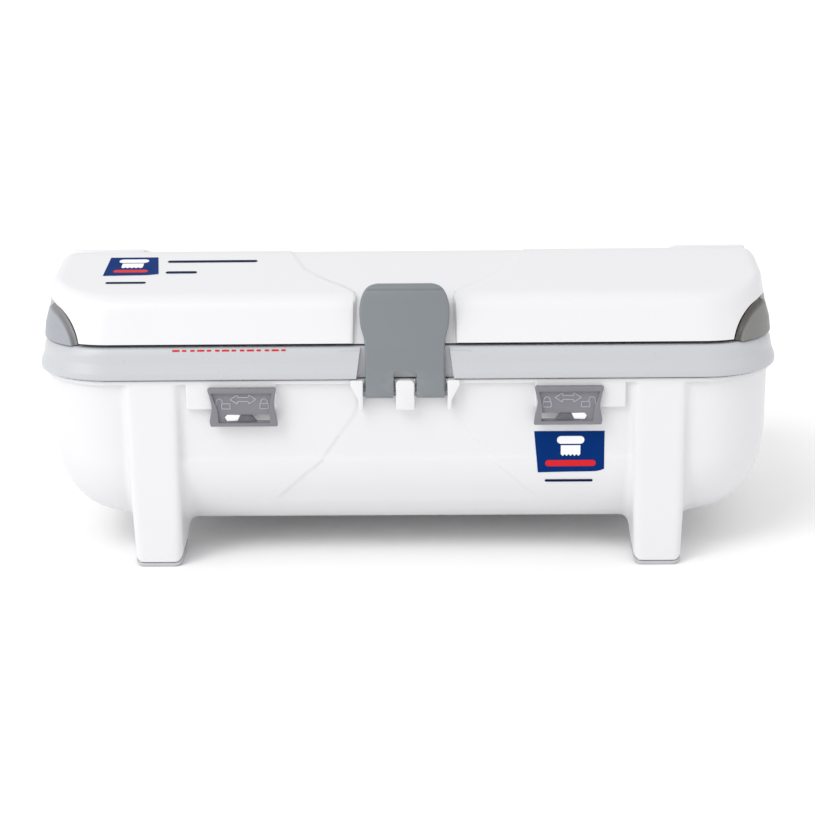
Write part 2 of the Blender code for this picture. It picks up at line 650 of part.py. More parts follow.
def screw(name, centre, z_seat, z_tip, head=3.2, shank=1.4):
    """A cross-head screw, its point downwards."""
    profile = (
        (0.9, z_tip), (shank, z_tip + 1), (shank, z_seat),
        (head, z_seat), (head, z_seat + 1.2), (head - 1, z_seat + 2),
    )
    made = loft(name, [level(z, circle(centre, radius, 12)) for radius, z in profile])
    for x, y in ((1.9, 0.45), (0.45, 1.9)):
        arm_x = (centre[0] - x, centre[0] + x)
        arm_y = (centre[1] - y, centre[1] + y)
        cut(made, block("cross", arm_x, arm_y, (z_seat + 1, z_seat + 3)))
    return made


def feed_bracket(name, side):
    """Stands on the frame's deck and holds the feed roller's axle."""
    y, z = FEED_AXIS
    bottom = DECK_TOP + FIT_GAP
    outline = corner_path([
        (y - 7.5, bottom, 0), (y - 5.2, z + 5.5, 5.0), (y + 5.2, z + 5.5, 5.0), (y + 7.5, bottom, 0),
    ])
    made = prism(name, outline, "X", *span(side, (151.0, 154.5)))
    foot_x = span(side, (151.5, FEED_SCREW_X + 4.5))
    add(made, block("foot", foot_x, (y - 6, y + 6), (bottom, bottom + BRACKET_FOOT), edge=0.4))
    cut(made, rod("axle_hole", AXLE_RADIUS + FIT_GAP, FEED_AXIS, span(side, (149, 157)), 12))
    cut(made, prism("screw_hole", circle((side * FEED_SCREW_X, y), 1.8, 12), "Z", 118, 126))
    return made


def cradle_bracket(name, side):
    """Stands on the tub's floor and holds both cradle axles."""
    floor = BELLY_BOTTOM + WALL + FIT_GAP
    front, rear = CRADLE_AXES["front"][0], CRADLE_AXES["rear"][0]
    z = CRADLE_AXES["front"][1]
    outline = corner_path([
        (front - 9, floor, 0), (front - 7, z + 6, 5), (front + 7, z + 6, 5), (front + 12, floor + 6, 4),
        (rear - 12, floor + 6, 4), (rear - 7, z + 6, 5), (rear + 7, z + 6, 5), (rear + 9, floor, 0),
    ])
    made = prism(name, outline, "X", *span(side, (150.4, 152.4)))
    add(made, block("foot", span(side, (151.0, 158.2)), (-9, 9), (floor, floor + BRACKET_FOOT), edge=0.4))
    for y_z in CRADLE_AXES.values():
        cut(made, rod("axle_hole", AXLE_RADIUS + FIT_GAP, y_z, span(side, (149, 156)), 12))
    cut(made, prism("screw_hole", circle((side * CRADLE_SCREW_X, 0), 1.8, 12), "Z", floor - 5, floor + 5))
    return made


def press_bar():
    """The bar under the lid that pushes the guard down; its posts reach up to the lid."""
    bar = block("lid_press_bar", (-152, 152), (BLADE_Y - 6, BLADE_Y + 6), PRESS_Z, edge=0.6)
    rise = (RIDGE[1] - SHOULDER[1]) / (RIDGE[0] - SHOULDER[0])
    lid_inside = SHOULDER[1] + rise * (BLADE_Y - 4 - SHOULDER[0]) - 3.8
    for x in POSTS_X:
        post_z = (PRESS_Z[1] - 1.0, lid_inside)
        add(bar, block("post", (x - 1.5, x + 1.5), (BLADE_Y - 4, BLADE_Y + 6), post_z))
    return bar


# Putting it together

def finish(made, colour):
    """Gives a body its material, and shades its round faces smooth."""
    material = bpy.data.materials.get(colour)
    if material is None:
        material = bpy.data.materials.new(colour)
        material.use_nodes = True
        rgb, roughness, metallic = COLOURS[colour]
        shader = material.node_tree.nodes["Principled BSDF"]
        shader.inputs["Base Color"].default_value = (*rgb, 1)
        shader.inputs["Roughness"].default_value = roughness
        shader.inputs["Metallic"].default_value = metallic
        material.diffuse_color = (*rgb, 1)
    made.data.materials.clear()
    made.data.materials.append(material)
    made.data.polygons.foreach_set("material_index", [0] * len(made.data.polygons))
    made.data.shade_smooth()
    made.data.set_sharp_from_angle(angle=math.radians(32))
    return made


def joint(name, place, parent=None):
    """An empty on a joint's axis, which carries the pieces that move on that joint."""
    empty = bpy.data.objects.new(name, None)
    empty.empty_display_size = 0.02
    bpy.context.scene.collection.objects.link(empty)
    empty.matrix_world = Matrix.Translation(Vector(place) * MM)
    if parent:
        hold(empty, parent)
    return empty


def hold(child, parent):
    """Parents a child where it stands."""
    bpy.context.view_layer.update()
    child.parent = parent
    child.matrix_parent_inverse = parent.matrix_world.inverted()


def base_pieces():
    finish(make_tub(), "white_plastic")
    sides = {"left": -1, "right": 1}
    for side, sign in sides.items():
        for end, way in {"front": -1, "rear": 1}.items():
            finish(foot_pad(f"foot_pad_{end}_{side}", sign, way), "foot_rubber")
        finish(hinge_pin(f"frame_hinge_pin_{side}", FRAME_AXIS, sign, FRAME_KNUCKLES), "steel")
        finish(cradle_bracket(f"cradle_bracket_{side}", sign), "light_grey_plastic")
        floor = BELLY_BOTTOM + WALL
        place = (sign * CRADLE_SCREW_X, 0)
        finish(screw(f"cradle_screw_{side}", place, floor + 3.3, floor + 0.4, head=2.6), "steel")
    for end, y_z in CRADLE_AXES.items():
        finish(rod(f"cradle_axle_{end}", AXLE_RADIUS, y_z, (-155, 155), 12), "steel")
        spin = joint(f"cradle_{end}_spin", (0, *y_z))
        length = (-ROLLER_HALF, ROLLER_HALF)
        roller = tube(f"cradle_roller_{end}", CRADLE_RADIUS, AXLE_RADIUS + FIT_GAP, y_z, length)
        hold(finish(roller, "roller_plastic"), spin)
    for side, sign in sides.items():
        slide = joint(f"latch_{side}_slide", (sign * STEM_X[0], -104.8, STEM_Z[0]))
        hold(finish(latch_slider(f"latch_slider_{side}", sign), "mid_grey_plastic"), slide)
        hold(finish(latch_bolt(f"latch_bolt_{side}", sign), "light_grey_plastic"), slide)
    hold(finish(make_clip(), "mid_grey_plastic"), joint("clip_hinge", (0, *CLIP_AXIS)))


def frame_pieces():
    hinge = joint("frame_hinge", (0, *FRAME_AXIS))
    pieces = [finish(make_frame(), "light_grey_plastic")]
    pieces.append(finish(make_blade_holder(), "light_grey_plastic"))
    pieces.append(finish(make_blade(), "steel"))
    pieces.append(finish(rod("feed_axle", AXLE_RADIUS, FEED_AXIS, (-156, 156), 12), "steel"))
    for side, sign in {"left": -1, "right": 1}.items():
        pieces.append(finish(corner_pad(f"corner_pad_{side}", sign), "pad_grey_plastic"))
        pieces.append(finish(feed_bracket(f"feed_bracket_{side}", sign), "light_grey_plastic"))
        seat = DECK_TOP + FIT_GAP + BRACKET_FOOT
        place = (sign * FEED_SCREW_X, FEED_AXIS[0])
        pieces.append(finish(screw(f"feed_screw_{side}", place, seat + 0.3, DECK_TOP + 0.4), "steel"))
        strip_z = (LEDGE_Z + FIT_GAP, LEDGE_Z + FIT_GAP + STRIP_HEIGHT)
        strip = block(f"grip_strip_{side}", span(sign, STRIP_X), STRIP_Y, strip_z, edge=0.25)
        pieces.append(finish(strip, "strip_rubber"))
        place = (sign * SPRING_X, BLADE_Y)
        spring = coil_spring(f"guard_spring_{side}", place, DECK_TOP + FIT_GAP, SPRING_TOP)
        pieces.append(finish(spring, "steel"))
        pieces.append(finish(hinge_pin(f"lid_hinge_pin_{side}", LID_AXIS, sign, LID_KNUCKLES), "steel"))
    guard_slide = joint("guard_press", (0, BLADE_Y, GUARD_TOP), hinge)
    hold(finish(make_guard(), "light_grey_plastic"), guard_slide)
    spin = joint("feed_spin", (0, *FEED_AXIS), hinge)
    roller = tube("feed_roller", FEED_RADIUS, AXLE_RADIUS + FIT_GAP, FEED_AXIS, (-150.0, 150.0))
    hold(finish(roller, "roller_plastic"), spin)
    for piece in pieces:
        hold(piece, hinge)
    return hinge


def lid_pieces(frame_hinge):
    hinge = joint("lid_hinge", (0, *LID_AXIS), frame_hinge)
    hold(finish(make_lid(), "white_plastic"), hinge)
    hold(finish(press_bar(), "white_plastic"), hinge)
    pad = block("lid_press_pad", (-150, 150), (BLADE_Y - 5, BLADE_Y + 5), PRESS_PAD_Z, edge=0.4)
    hold(finish(pad, "strip_rubber"), hinge)


def main():
    for old in list(bpy.data.objects):
        bpy.data.objects.remove(old)
    base_pieces()
    lid_pieces(frame_pieces())


main()
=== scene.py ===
"""Looks of the cling film dispenser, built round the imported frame.
The front faces -Y, X runs to the right and Z is up.
Lengths are in millimetres; MM turns them into metres."""

import json
import math

import bmesh
import bpy
import numpy as np
import openvdb
from mathutils import Matrix, Vector
from mathutils.bvhtree import BVHTree


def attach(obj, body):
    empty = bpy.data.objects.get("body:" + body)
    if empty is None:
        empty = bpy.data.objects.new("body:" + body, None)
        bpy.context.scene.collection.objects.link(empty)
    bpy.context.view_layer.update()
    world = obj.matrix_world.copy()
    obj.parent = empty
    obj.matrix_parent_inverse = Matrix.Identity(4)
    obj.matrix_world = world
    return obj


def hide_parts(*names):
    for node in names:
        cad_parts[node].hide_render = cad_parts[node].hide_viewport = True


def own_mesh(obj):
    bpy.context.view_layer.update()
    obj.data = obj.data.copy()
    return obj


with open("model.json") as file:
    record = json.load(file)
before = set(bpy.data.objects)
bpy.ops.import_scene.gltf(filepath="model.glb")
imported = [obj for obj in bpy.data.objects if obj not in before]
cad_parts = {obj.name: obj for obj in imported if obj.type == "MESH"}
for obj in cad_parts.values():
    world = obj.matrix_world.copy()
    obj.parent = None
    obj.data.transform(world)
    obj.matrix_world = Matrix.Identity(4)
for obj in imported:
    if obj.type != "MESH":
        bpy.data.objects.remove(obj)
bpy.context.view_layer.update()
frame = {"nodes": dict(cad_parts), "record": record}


MM = 0.001
SIDES = {"left": -1, "right": 1}
BEVEL_ANGLE = math.radians(40)
CIRCLE_SIDES = 40

# The CAD's sizes, by the same names; only the flange is drawn half a millimetre lower
FIT = 0.3
WALL = 2.6
RIM_X, RIM_Y, RIM_CORNER = 210.0, 107.0, 45.0
RIM_BOTTOM, LEDGE_Z = 110.5, 128.0
DECK_TOP, DECK_BOTTOM = 121.0, 118.4
WINDOW = (-166.0, 166.0, -50.0, 66.0, 10.0)
FRONT_Y = 104.5
FLANGE_X, FLANGE_CORNER, FLANGE_BOTTOM, FLANGE_TOP = 207.0, 43.0, 107.0, 109.7
TUB_X, TUB_Y, DRAFT = 206.0, 102.3, 2.8
WING_BOTTOM, BELLY_BOTTOM = 20.0, 17.6
STRAIGHT_Z = 64.0            # the tub's long walls are straight above this
WING_CORE_X, WING_CORE_Y = 174.0, 62.0      # half width and half depth of the flat underside
END_ROUND, SIDE_ROUND = 54.0, 44.0
BELLY_X, BELLY_TUCK, TUCK_HEIGHT = 170.0, 10.0, 5.0
BELLY_CORE, BELLY_SWELL, BELLY_ROUND, BELLY_TOP = 61.5, 38.0, 46.4, 62.0
CLIP_AXIS = (-105.4, 102.3)
FRAME_AXIS = (105.3, 107.3)
LID_AXIS = (102.0, 131.3)
CLIP_BARREL, BARREL, PIN = 2.8, 2.9, 1.2
STUB, STUB_HOLE = 1.6, 1.9
FRAME_KNUCKLES = ((130.0, 136.0), (136.3, 153.7), (154.0, 160.0))
LID_KNUCKLES = ((146.0, 152.0), (152.3, 165.7), (166.0, 171.0))
LID_X, LID_TOP_X = 206.8, 203.0
LID_FRONT_Y, LID_BACK_Y, LID_BOTTOM = -102.3, 98.5, 130.0
SHOULDER, RIDGE, HEEL = (-94.5, 153.0), (-25.0, 167.4), (6.0, 10.0)
REAR_SLOPE = -0.238


# Meshes

def link(name, data):
    made = bpy.data.objects.new(name, data)
    bpy.context.scene.collection.objects.link(made)
    return made


def turned_out(name, mesh, work):
    """Writes an edited mesh back with its faces turned outwards, and puts it in the scene."""
    if work.calc_volume(signed=True) < 0:
        bmesh.ops.reverse_faces(work, faces=work.faces)
    work.to_mesh(mesh)
    work.free()
    return link(name, mesh)


def body(name, points, faces):
    """A closed body from points in millimetres."""
    mesh = bpy.data.meshes.new(name)
    mesh.from_pydata([tuple(float(v) * MM for v in point) for point in points], [], faces)
    work = bmesh.new()
    work.from_mesh(mesh)
    bmesh.ops.remove_doubles(work, verts=work.verts, dist=1e-6)
    bmesh.ops.recalc_face_normals(work, faces=work.faces)
    return turned_out(name, mesh, work)


def loft(name, rings, closed=False):
    count = len(rings[0])
    points = [point for ring in rings for point in ring]
    faces = []
    for row in range(len(rings) - (0 if closed else 1)):
        a, b = row * count, (row + 1) % len(rings) * count
        faces += [(a + k, a + (k + 1) % count, b + (k + 1) % count, b + k) for k in range(count)]
    if not closed:
        faces += [tuple(range(count)), tuple(range(len(points) - count, len(points)))]
    return body(name, points, faces)


def rounded(x0, x1, y0, y1, radius, steps):
    outline = []
    corners = (
        (x1 - radius, y0 + radius, -90), (x1 - radius, y1 - radius, 0),
        (x0 + radius, y1 - radius, 90), (x0 + radius, y0 + radius, 180),
    )
    for x, y, start in corners:
        for step in range(steps + 1):
            angle = math.radians(start + 90 * step / steps)
            outline.append((x + radius * math.cos(angle), y + radius * math.sin(angle)))
    return outline


def level(z, outline):
    return [(x, y, z) for x, y in outline]


def prism(name, outline, axis, start, end, edge=0.0, segments=3):
    """An outline extruded along an axis, with its sharp edges rounded off by edge."""
    place = {
        "X": lambda a, b, depth: (depth, a, b),
        "Y": lambda a, b, depth: (a, depth, b),
        "Z": lambda a, b, depth: (a, b, depth),
    }[axis]
    made = loft(name, [[place(a, b, depth) for a, b in outline] for depth in (start, end)])
    if edge:
        soften(made, edge, segments)
    return made


def block(name, x, y, z, edge=0.0):
    return prism(name, [(x[0], y[0]), (x[1], y[0]), (x[1], y[1]), (x[0], y[1])], "Z", z[0], z[1], edge)


def circle(centre, radius):
    turns = [math.tau * (k + 0.5) / CIRCLE_SIDES for k in range(CIRCLE_SIDES)]
    return [(centre[0] + radius * math.cos(t), centre[1] + radius * math.sin(t)) for t in turns]


def rod(name, radius, axis_yz, x, edge=0.0):
    return prism(name, circle(axis_yz, radius), "X", x[0], x[1], edge)


def settle(made):
    graph = bpy.context.evaluated_depsgraph_get()
    before = made.data
    made.data = bpy.data.meshes.new_from_object(made.evaluated_get(graph))
    made.modifiers.clear()
    bpy.data.meshes.remove(before)


def bevel(made, width, segments):
    """Rounds off the edges that are sharper than BEVEL_ANGLE."""
    modifier = made.modifiers.new("edge", "BEVEL")
    modifier.width = width * MM
    modifier.segments = segments
    modifier.limit_method = "ANGLE"
    modifier.angle_limit = BEVEL_ANGLE


def soften(made, width, segments):
    bevel(made, width, segments)
    settle(made)


def combine(made, tool, operation):
    modifier = made.modifiers.new(operation, "BOOLEAN")
    modifier.operation = operation
    modifier.solver = "MANIFOLD"
    modifier.object = tool
    settle(made)
    bpy.data.objects.remove(tool)


def add(made, *tools):
    for tool in tools:
        combine(made, tool, "UNION")


def cut(made, *tools):
    for tool in tools:
        combine(made, tool, "DIFFERENCE")


def span(side, low_high):
    return tuple(sorted(side * value for value in low_high))


def corner_path(corners, steps=10):
    """A path through corners (a, b, radius), each rounded by an arc."""
    path = [corners[0][:2]]
    for before, here, after in zip(corners, corners[1:], corners[2:]):
        corner = Vector(here[:2])
        back = (Vector(before[:2]) - corner).normalized()
        ahead = (Vector(after[:2]) - corner).normalized()
        half = back.angle(ahead) / 2
        reach = here[2] / math.tan(half)
        centre = corner + (back + ahead).normalized() * here[2] / math.sin(half)
        start, end = corner + back * reach - centre, corner + ahead * reach - centre
        first = math.atan2(start.y, start.x)
        sweep = math.atan2(start.x * end.y - start.y * end.x, start.dot(end)) if here[2] else 0.0
        for step in range(steps + 1):
            angle = first + sweep * step / steps
            path.append((centre.x + here[2] * math.cos(angle), centre.y + here[2] * math.sin(angle)))
    path.append(corners[-1][:2])
    return path


def through(points, steps=6):
    """A smooth path through points of any dimension."""
    knots = np.array(points, float)
    ends = np.vstack([2 * knots[0] - knots[1], knots, 2 * knots[-1] - knots[-2]])
    path = []
    for k in range(1, len(ends) - 2):
        p0, p1, p2, p3 = ends[k - 1:k + 3]
        for step in range(steps):
            t = step / steps
            path.append(0.5 * (2 * p1 + (p2 - p0) * t + (2 * p0 - 5 * p1 + 4 * p2 - p3) * t ** 2
                               + (3 * p1 - p0 - 3 * p2 + p3) * t ** 3))
    path.append(knots[-1])
    return path


def smooth(made, angle=35):
    made.data.shade_smooth()
    made.data.set_sharp_from_angle(angle=math.radians(angle))
    return made


# Blended solids: a distance rule sampled on a grid

def soft_min(a, b, k):
    near = np.clip(1 - np.abs(a - b) / k, 0, None)
    return np.minimum(a, b) - near * near * k / 4


def soft_max(a, b, k):
    return -soft_min(-a, -b, k)


def ease(t):
    t = np.clip(t, 0, 1)
    return t * t * (3 - 2 * t)


def plan_distance(x, y, half_x, half_y, radius):
    """Distance in plan to a rounded rectangle, and how far its nearest side is an end."""
    qx = np.abs(x) - half_x + radius
    qy = np.abs(y) - half_y + radius
    inside = np.minimum(np.maximum(qx, qy), 0)
    outside = np.hypot(np.maximum(qx, 0), np.maximum(qy, 0))
    return inside + outside - radius, np.clip((qx - qy) / 10 + 0.5, 0, 1)


def skin(name, rule, low, high, pitch):
    """The surface where a distance rule is zero, each point moved onto the exact surface."""
    axes = [np.arange(a, b + pitch, pitch, dtype=np.float32) for a, b in zip(low, high)]
    x, y, z = axes[0][:, None, None], axes[1][None, :, None], axes[2][None, None, :]
    values = np.ascontiguousarray(rule(x, y, z), np.float32)
    grid = openvdb.FloatGrid(50.0)
    grid.copyFromArray(values)
    points, quads = grid.convertToQuads(0.0)
    points = np.asarray(points, float) * pitch + np.array(low)
    for _ in range(2):
        here = rule(*points.T)
        slope = np.stack([
            (rule(*(points + step).T) - here) / 0.04 for step in np.eye(3) * 0.04
        ], axis=1)
        move = -(here / np.maximum((slope ** 2).sum(1), 0.2))[:, None] * slope
        length = np.linalg.norm(move, axis=1, keepdims=True)
        points += move * np.minimum(1, 0.35 * pitch / np.maximum(length, 1e-9))
    mesh = bpy.data.meshes.new(name)
    mesh.from_pydata(points * MM, [], np.asarray(quads).tolist())
    work = bmesh.new()
    work.from_mesh(mesh)
    return turned_out(name, mesh, work)


# The tub

def corner_radius(half_x):
    """The corners in plan get tighter as the tub narrows."""
    return np.minimum(42.0, (half_x - 126) * 0.52 + 2)


def wing_rule(x, y, z, inset):
    z = z - inset
    end = np.clip(1 - (z - WING_BOTTOM) / END_ROUND, 0, 1)
    front = np.clip(1 - (z - WING_BOTTOM) / SIDE_ROUND, 0, 1)
    drafted = TUB_Y - DRAFT * (1 - np.clip((z - STRAIGHT_Z) / (FLANGE_TOP - STRAIGHT_Z), 0, None))
    end_flat = np.sqrt(np.clip(1 - end ** 2, 0, 1))
    front_flat = np.sqrt(np.clip(1 - front ** 2, 0, 1))
    half_x = WING_CORE_X + (TUB_X - WING_CORE_X) * end_flat
    half_y = WING_CORE_Y + (drafted - WING_CORE_Y) * front_flat
    radius = corner_radius(half_x)
    flat, at_end = plan_distance(x, y, half_x - inset, half_y - inset, radius - inset)
    slope_x = (TUB_X - WING_CORE_X) * end / (END_ROUND * np.maximum(end_flat, 0.15))
    slope_y = (drafted - WING_CORE_Y) * front / (SIDE_ROUND * np.maximum(front_flat, 0.15))
    slope = slope_x * at_end + slope_y * (1 - at_end)
    return soft_max(flat / np.sqrt(1 + slope ** 2), WING_BOTTOM - z, 3.0)


def belly_rule(x, y, z, inset):
    z = z - inset
    low = np.clip(1 - (z - BELLY_BOTTOM) / BELLY_ROUND, 0, 1)
    flat = np.sqrt(np.clip(1 - low ** 2, 0, 1))
    half_x = BELLY_X - BELLY_TUCK * (1 - np.clip((z - BELLY_BOTTOM) / TUCK_HEIGHT, 0, 1)) ** 2
    half_y = BELLY_CORE + BELLY_SWELL * flat
    radius = corner_radius(half_x)
    plan, at_end = plan_distance(x, y, half_x - inset, half_y - inset, radius - inset)
    slope = (1 - at_end) * BELLY_SWELL * low / (BELLY_ROUND * np.maximum(flat, 0.15))
    ends = soft_max(plan / np.sqrt(1 + slope ** 2), BELLY_BOTTOM - z, 2.0)
    return np.maximum(ends, z - BELLY_TOP)


LEG_Z = (2.3, 24.0, 40.0, 109.6)
LEG_IN = (128.6, 127.9, 127.4, 126.0)
LEG_OUT = (155.2, 155.9, 156.4, 157.2)
LEG_BACK = (73.5, 62.0, 48.0, 48.0)
FOOT_IN, FOOT_OUT, FOOT_BACK, FOOT_CORNER = LEG_IN[0], LEG_OUT[0], LEG_BACK[0], 4.5
RECESS_Z = (34, 38, 52, 60.6, 69, 87, 93, 108)
RECESS_HALF = (78, 73, 59, 48.5, 43, 30, 27.5, 27)
RECESS_DEPTH, RECESS_FLOOR = 0.55, 33


def sole_rise(y):
    return 4.0 * (FRONT_Y - np.abs(y)) / 31.0


def sole(x, y):
    """Height of the joint between leg and foot: it rises to the back and round the leg's sides."""
    middle, half = (FOOT_IN + FOOT_OUT) / 2, (FOOT_OUT - FOOT_IN) / 2
    side = np.clip((np.abs(np.abs(x) - middle) - half + FOOT_CORNER) / FOOT_CORNER, 0, 1)
    return LEG_Z[0] + sole_rise(y) + FOOT_CORNER * 0.7 * (1 - np.sqrt(1 - side ** 2))


def leg_rule(x, y, z):
    """The leg without its front: it runs on forwards."""
    inner, outer = np.interp(z, LEG_Z, LEG_IN), np.interp(z, LEG_Z, LEG_OUT)
    sides = np.abs(np.abs(x) - (inner + outer) / 2) - (outer - inner) / 2
    back = np.interp(z, LEG_Z, LEG_BACK) - np.abs(y)
    return soft_max(sides, back, 5.0)


def tub_rule(x, y, z):
    wing, belly = wing_rule(x, y, z, 0.0), belly_rule(x, y, z, 0.0)
    whole = soft_min(wing, belly, 3.0)
    recess = ease((np.interp(z, RECESS_Z, RECESS_HALF) - np.abs(x)) / 1.1 + 0.5)
    recess = recess * ease((z - RECESS_FLOOR) / 8) * (y < -40)
    whole = whole + RECESS_DEPTH * recess
    reach = 3.5 + 2.5 * ease((66 - z) / 26)
    whole = soft_min(whole, leg_rule(x, y, z), reach)
    whole = soft_max(whole, np.abs(y) - FRONT_Y, 5.0)
    flange, _ = plan_distance(x, y, FLANGE_X, FRONT_Y, FLANGE_CORNER)
    flange = soft_max(flange, FLANGE_BOTTOM - z, 0.9)
    whole = soft_min(whole, flange, 0.8)
    whole = soft_max(whole, z - FLANGE_TOP, 0.9)
    whole = soft_max(whole, sole(x, y) - z, 0.8)
    room = soft_min(wing_rule(x, y, z, WALL), belly_rule(x, y, z, WALL), 3.0)
    return soft_max(whole, -room, 1.0)


def boss(side):
    """A bearing block for the clip, with a gusset on its outer side."""
    outline = [
        (side * 23.4, 92.7), (side * 25.6, 92.7), (side * 26.0, 98.5), (side * 30.4, 107.0),
        (side * 30.4, 109.9), (side * 23.4, 109.9),
    ]
    return prism("boss", outline, "Y", -107.6, -100.0, 0.7, 4)


def make_tub():
    pitch = 1.1
    tub = skin("tub_body", tub_rule, (-211.0, -108.5, -1.0), (211.0, 108.5, 113.0), pitch)
    for side in (-1, 1):
        add(tub, block("rail", span(side, (72, 122.5)), (-104.4, -100.0), (92.8, 108.4), 0.9))
        add(tub, boss(side))
        for low, high in (FRAME_KNUCKLES[0], FRAME_KNUCKLES[2]):
            add(tub, rod("knuckle", BARREL, FRAME_AXIS, span(side, (low, high)), 0.4))
            add(tub, block("web", span(side, (low, high)), (101.0, 105.3), (104.6, 109.9)))
        for end in (-1, 1):
            room = rounded(*span(side, (131.4, 151.6)), *span(end, (76.5, 101.8)), 3.0, 6)
            cut(tub, prism("leg_room", room, "Z", 0.0, 21.5))
        cut(tub, block("stem_slot", span(side, (87.4, 107.6)), (-107, -95), (95.5, 101.5)))
        cut(tub, rod("socket", STUB_HOLE, CLIP_AXIS, span(side, (22.0, 25.9))))
        cut(tub, block("prong_room", span(side, (5.6, 22.8)), (-110, -102.25), (98, 112)))
        cut(tub, block("knuckle_room", span(side, (136.1, 153.9)), (101.9, 110), (103.5, 112)))
        cut(tub, rod("pin_hole", PIN + FIT, FRAME_AXIS, span(side, (125.0, 165.0))))
    tab = corner_path([
        (-5.3, 92.7, 0), (5.3, 92.7, 0.9), (5.3, 109.9, 2.6),
        (-5.3, 109.9, 2.6), (-5.3, 92.7, 0.9), (0, 92.7, 0),
    ])[1:-1]
    centre = prism("centre_tab", tab, "Y", -107.6, -100.5, 0.9, 4)
    cut(centre, rod("tab_hole", STUB_HOLE, CLIP_AXIS, (-7, 7)))
    add(tub, centre)
    return smooth(tub, 40)


def make_foot(end, side):
    """A wedge under a leg that turns up round the leg's lower corners."""
    middle = (side * (FOOT_IN + FOOT_OUT) / 2, end * (FOOT_BACK + FRONT_Y) / 2)
    half = ((FOOT_OUT - FOOT_IN) / 2, (FRONT_Y - FOOT_BACK) / 2)

    def rule(x, y, z):
        plan, _ = plan_distance(x - middle[0], y - middle[1], *half, FOOT_CORNER)
        top = sole(x, y) - 0.3
        low = top - 2.0 - sole_rise(y)
        foot = soft_max(plan, z - top, 0.6)
        return soft_max(foot, np.maximum(low, 0.0) - z, 1.0)

    low = (middle[0] - half[0] - 2, middle[1] - half[1] - 2, -1.2)
    high = (middle[0] + half[0] + 2, middle[1] + half[1] + 2, 12.0)
    return smooth(skin("foot", rule, low, high, 0.7), 50)


# The insert frame

RIM_STEPS = 22               # points round each corner
RIM_PROFILE = corner_path([
    (4.0, RIM_BOTTOM, 0), (0.0, RIM_BOTTOM, 0.9), (0.0, 114.0, 2.0), (2.1, 119.6, 5.0),
    (2.8, 124.4, 9.0), (4.6, LEDGE_Z, 2.3), (14.0, LEDGE_Z, 1.0), (16.5, DECK_TOP, 0),
], 7)


def rim_ring(z, inset):
    x, y = RIM_X - inset, RIM_Y - inset
    return level(z, rounded(-x, x, -y, y, RIM_CORNER - inset, RIM_STEPS))


def make_rim():
    rings = [rim_ring(z, inset) for inset, z in RIM_PROFILE]
    window = rounded(*WINDOW, RIM_STEPS)
    rings += [level(DECK_TOP, window), level(DECK_BOTTOM, window)]
    underside = ((DECK_BOTTOM, 14.0), (125.2, 11.4), (125.2, 7.6), (122.0, 5.2))
    rings += [rim_ring(z, inset) for z, inset in underside]
    rim = loft("rim_frame", rings, closed=True)
    add(rim, block("backing", (-36, 36), (-104.0, -98.5), (RIM_BOTTOM, 126.0)))
    notch = [(-27.4, 109), (27.4, 109), (24.2, 131), (-24.2, 131)]
    cut(rim, prism("notch", notch, "Y", -112, -101.9, 0.9))
    for side in (-1, 1):
        middle = span(side, FRAME_KNUCKLES[1])
        add(rim, rod("knuckle", BARREL, FRAME_AXIS, middle, 0.4))
        add(rim, block("web", middle, (102.6, 106.6), (107.3, RIM_BOTTOM + 2)))
        cut(rim, rod("pin_hole", PIN + FIT, FRAME_AXIS, span(side, (135.3, 154.7))))
        for low, high in (LID_KNUCKLES[0], LID_KNUCKLES[2]):
            add(rim, rod("knuckle", BARREL, LID_AXIS, span(side, (low, high)), 0.4))
            add(rim, block("web", span(side, (low, high)), (99.2, 104.4), (125.6, LID_AXIS[1])))
            cut(rim, rod("pin_hole", PIN + FIT, LID_AXIS, span(side, (low - 1, high + 1))))
        add(rim, block("keeper", span(side, (70, 77.6)), (-97.9, -95.4), (96, 126.4), 0.4))
    return smooth(rim, 32)


# The pads' chamfers are painted darker through this attribute: painted shade where they face away from
# the light.
PAINTED_CHAMFER_SHADE = "painted_chamfer_shade"   # how far a point is on the pad's chamfer, from 0 to 1
PAD_BOTTOM, PAD_BACK = LEDGE_Z + 0.4, -64.5
PAD_HEIGHTS, PAD_HALF = (PAD_BOTTOM, 136.0, 146.0), (207.2, 206.4, 203.8)
PAD_DEPTH_LESS, PAD_CORNER = 103.2, 43.0     # half depth = half width - PAD_DEPTH_LESS
PAD_OUTLINE = ((182.6, 128.4), (184.4, 134.6), (187.9, 140.5), (193.2, 145.2), (200.4, 147.8))
LID_CUT = ((181.6, 129.0), (183.4, 135.0), (187.0, 141.2), (192.7, 146.2), (200.2, 148.8))


def outline_distance(u, v, outline):
    """Signed distance in a plane to a closed outline, negative inside it."""
    nearest, inside = None, None
    for (ax, ay), (bx, by) in zip(outline, outline[1:] + outline[:1]):
        ex, ey = bx - ax, by - ay
        share = np.clip(((u - ax) * ex + (v - ay) * ey) / (ex * ex + ey * ey), 0, 1)
        gap = np.hypot(u - ax - share * ex, v - ay - share * ey)
        crosses = ((ay > v) != (by > v)) & (u < ex * (v - ay) / (ey or 1e-9) + ax)
        nearest = gap if nearest is None else np.minimum(nearest, gap)
        inside = crosses if inside is None else inside ^ crosses
    return np.where(inside, -nearest, nearest)


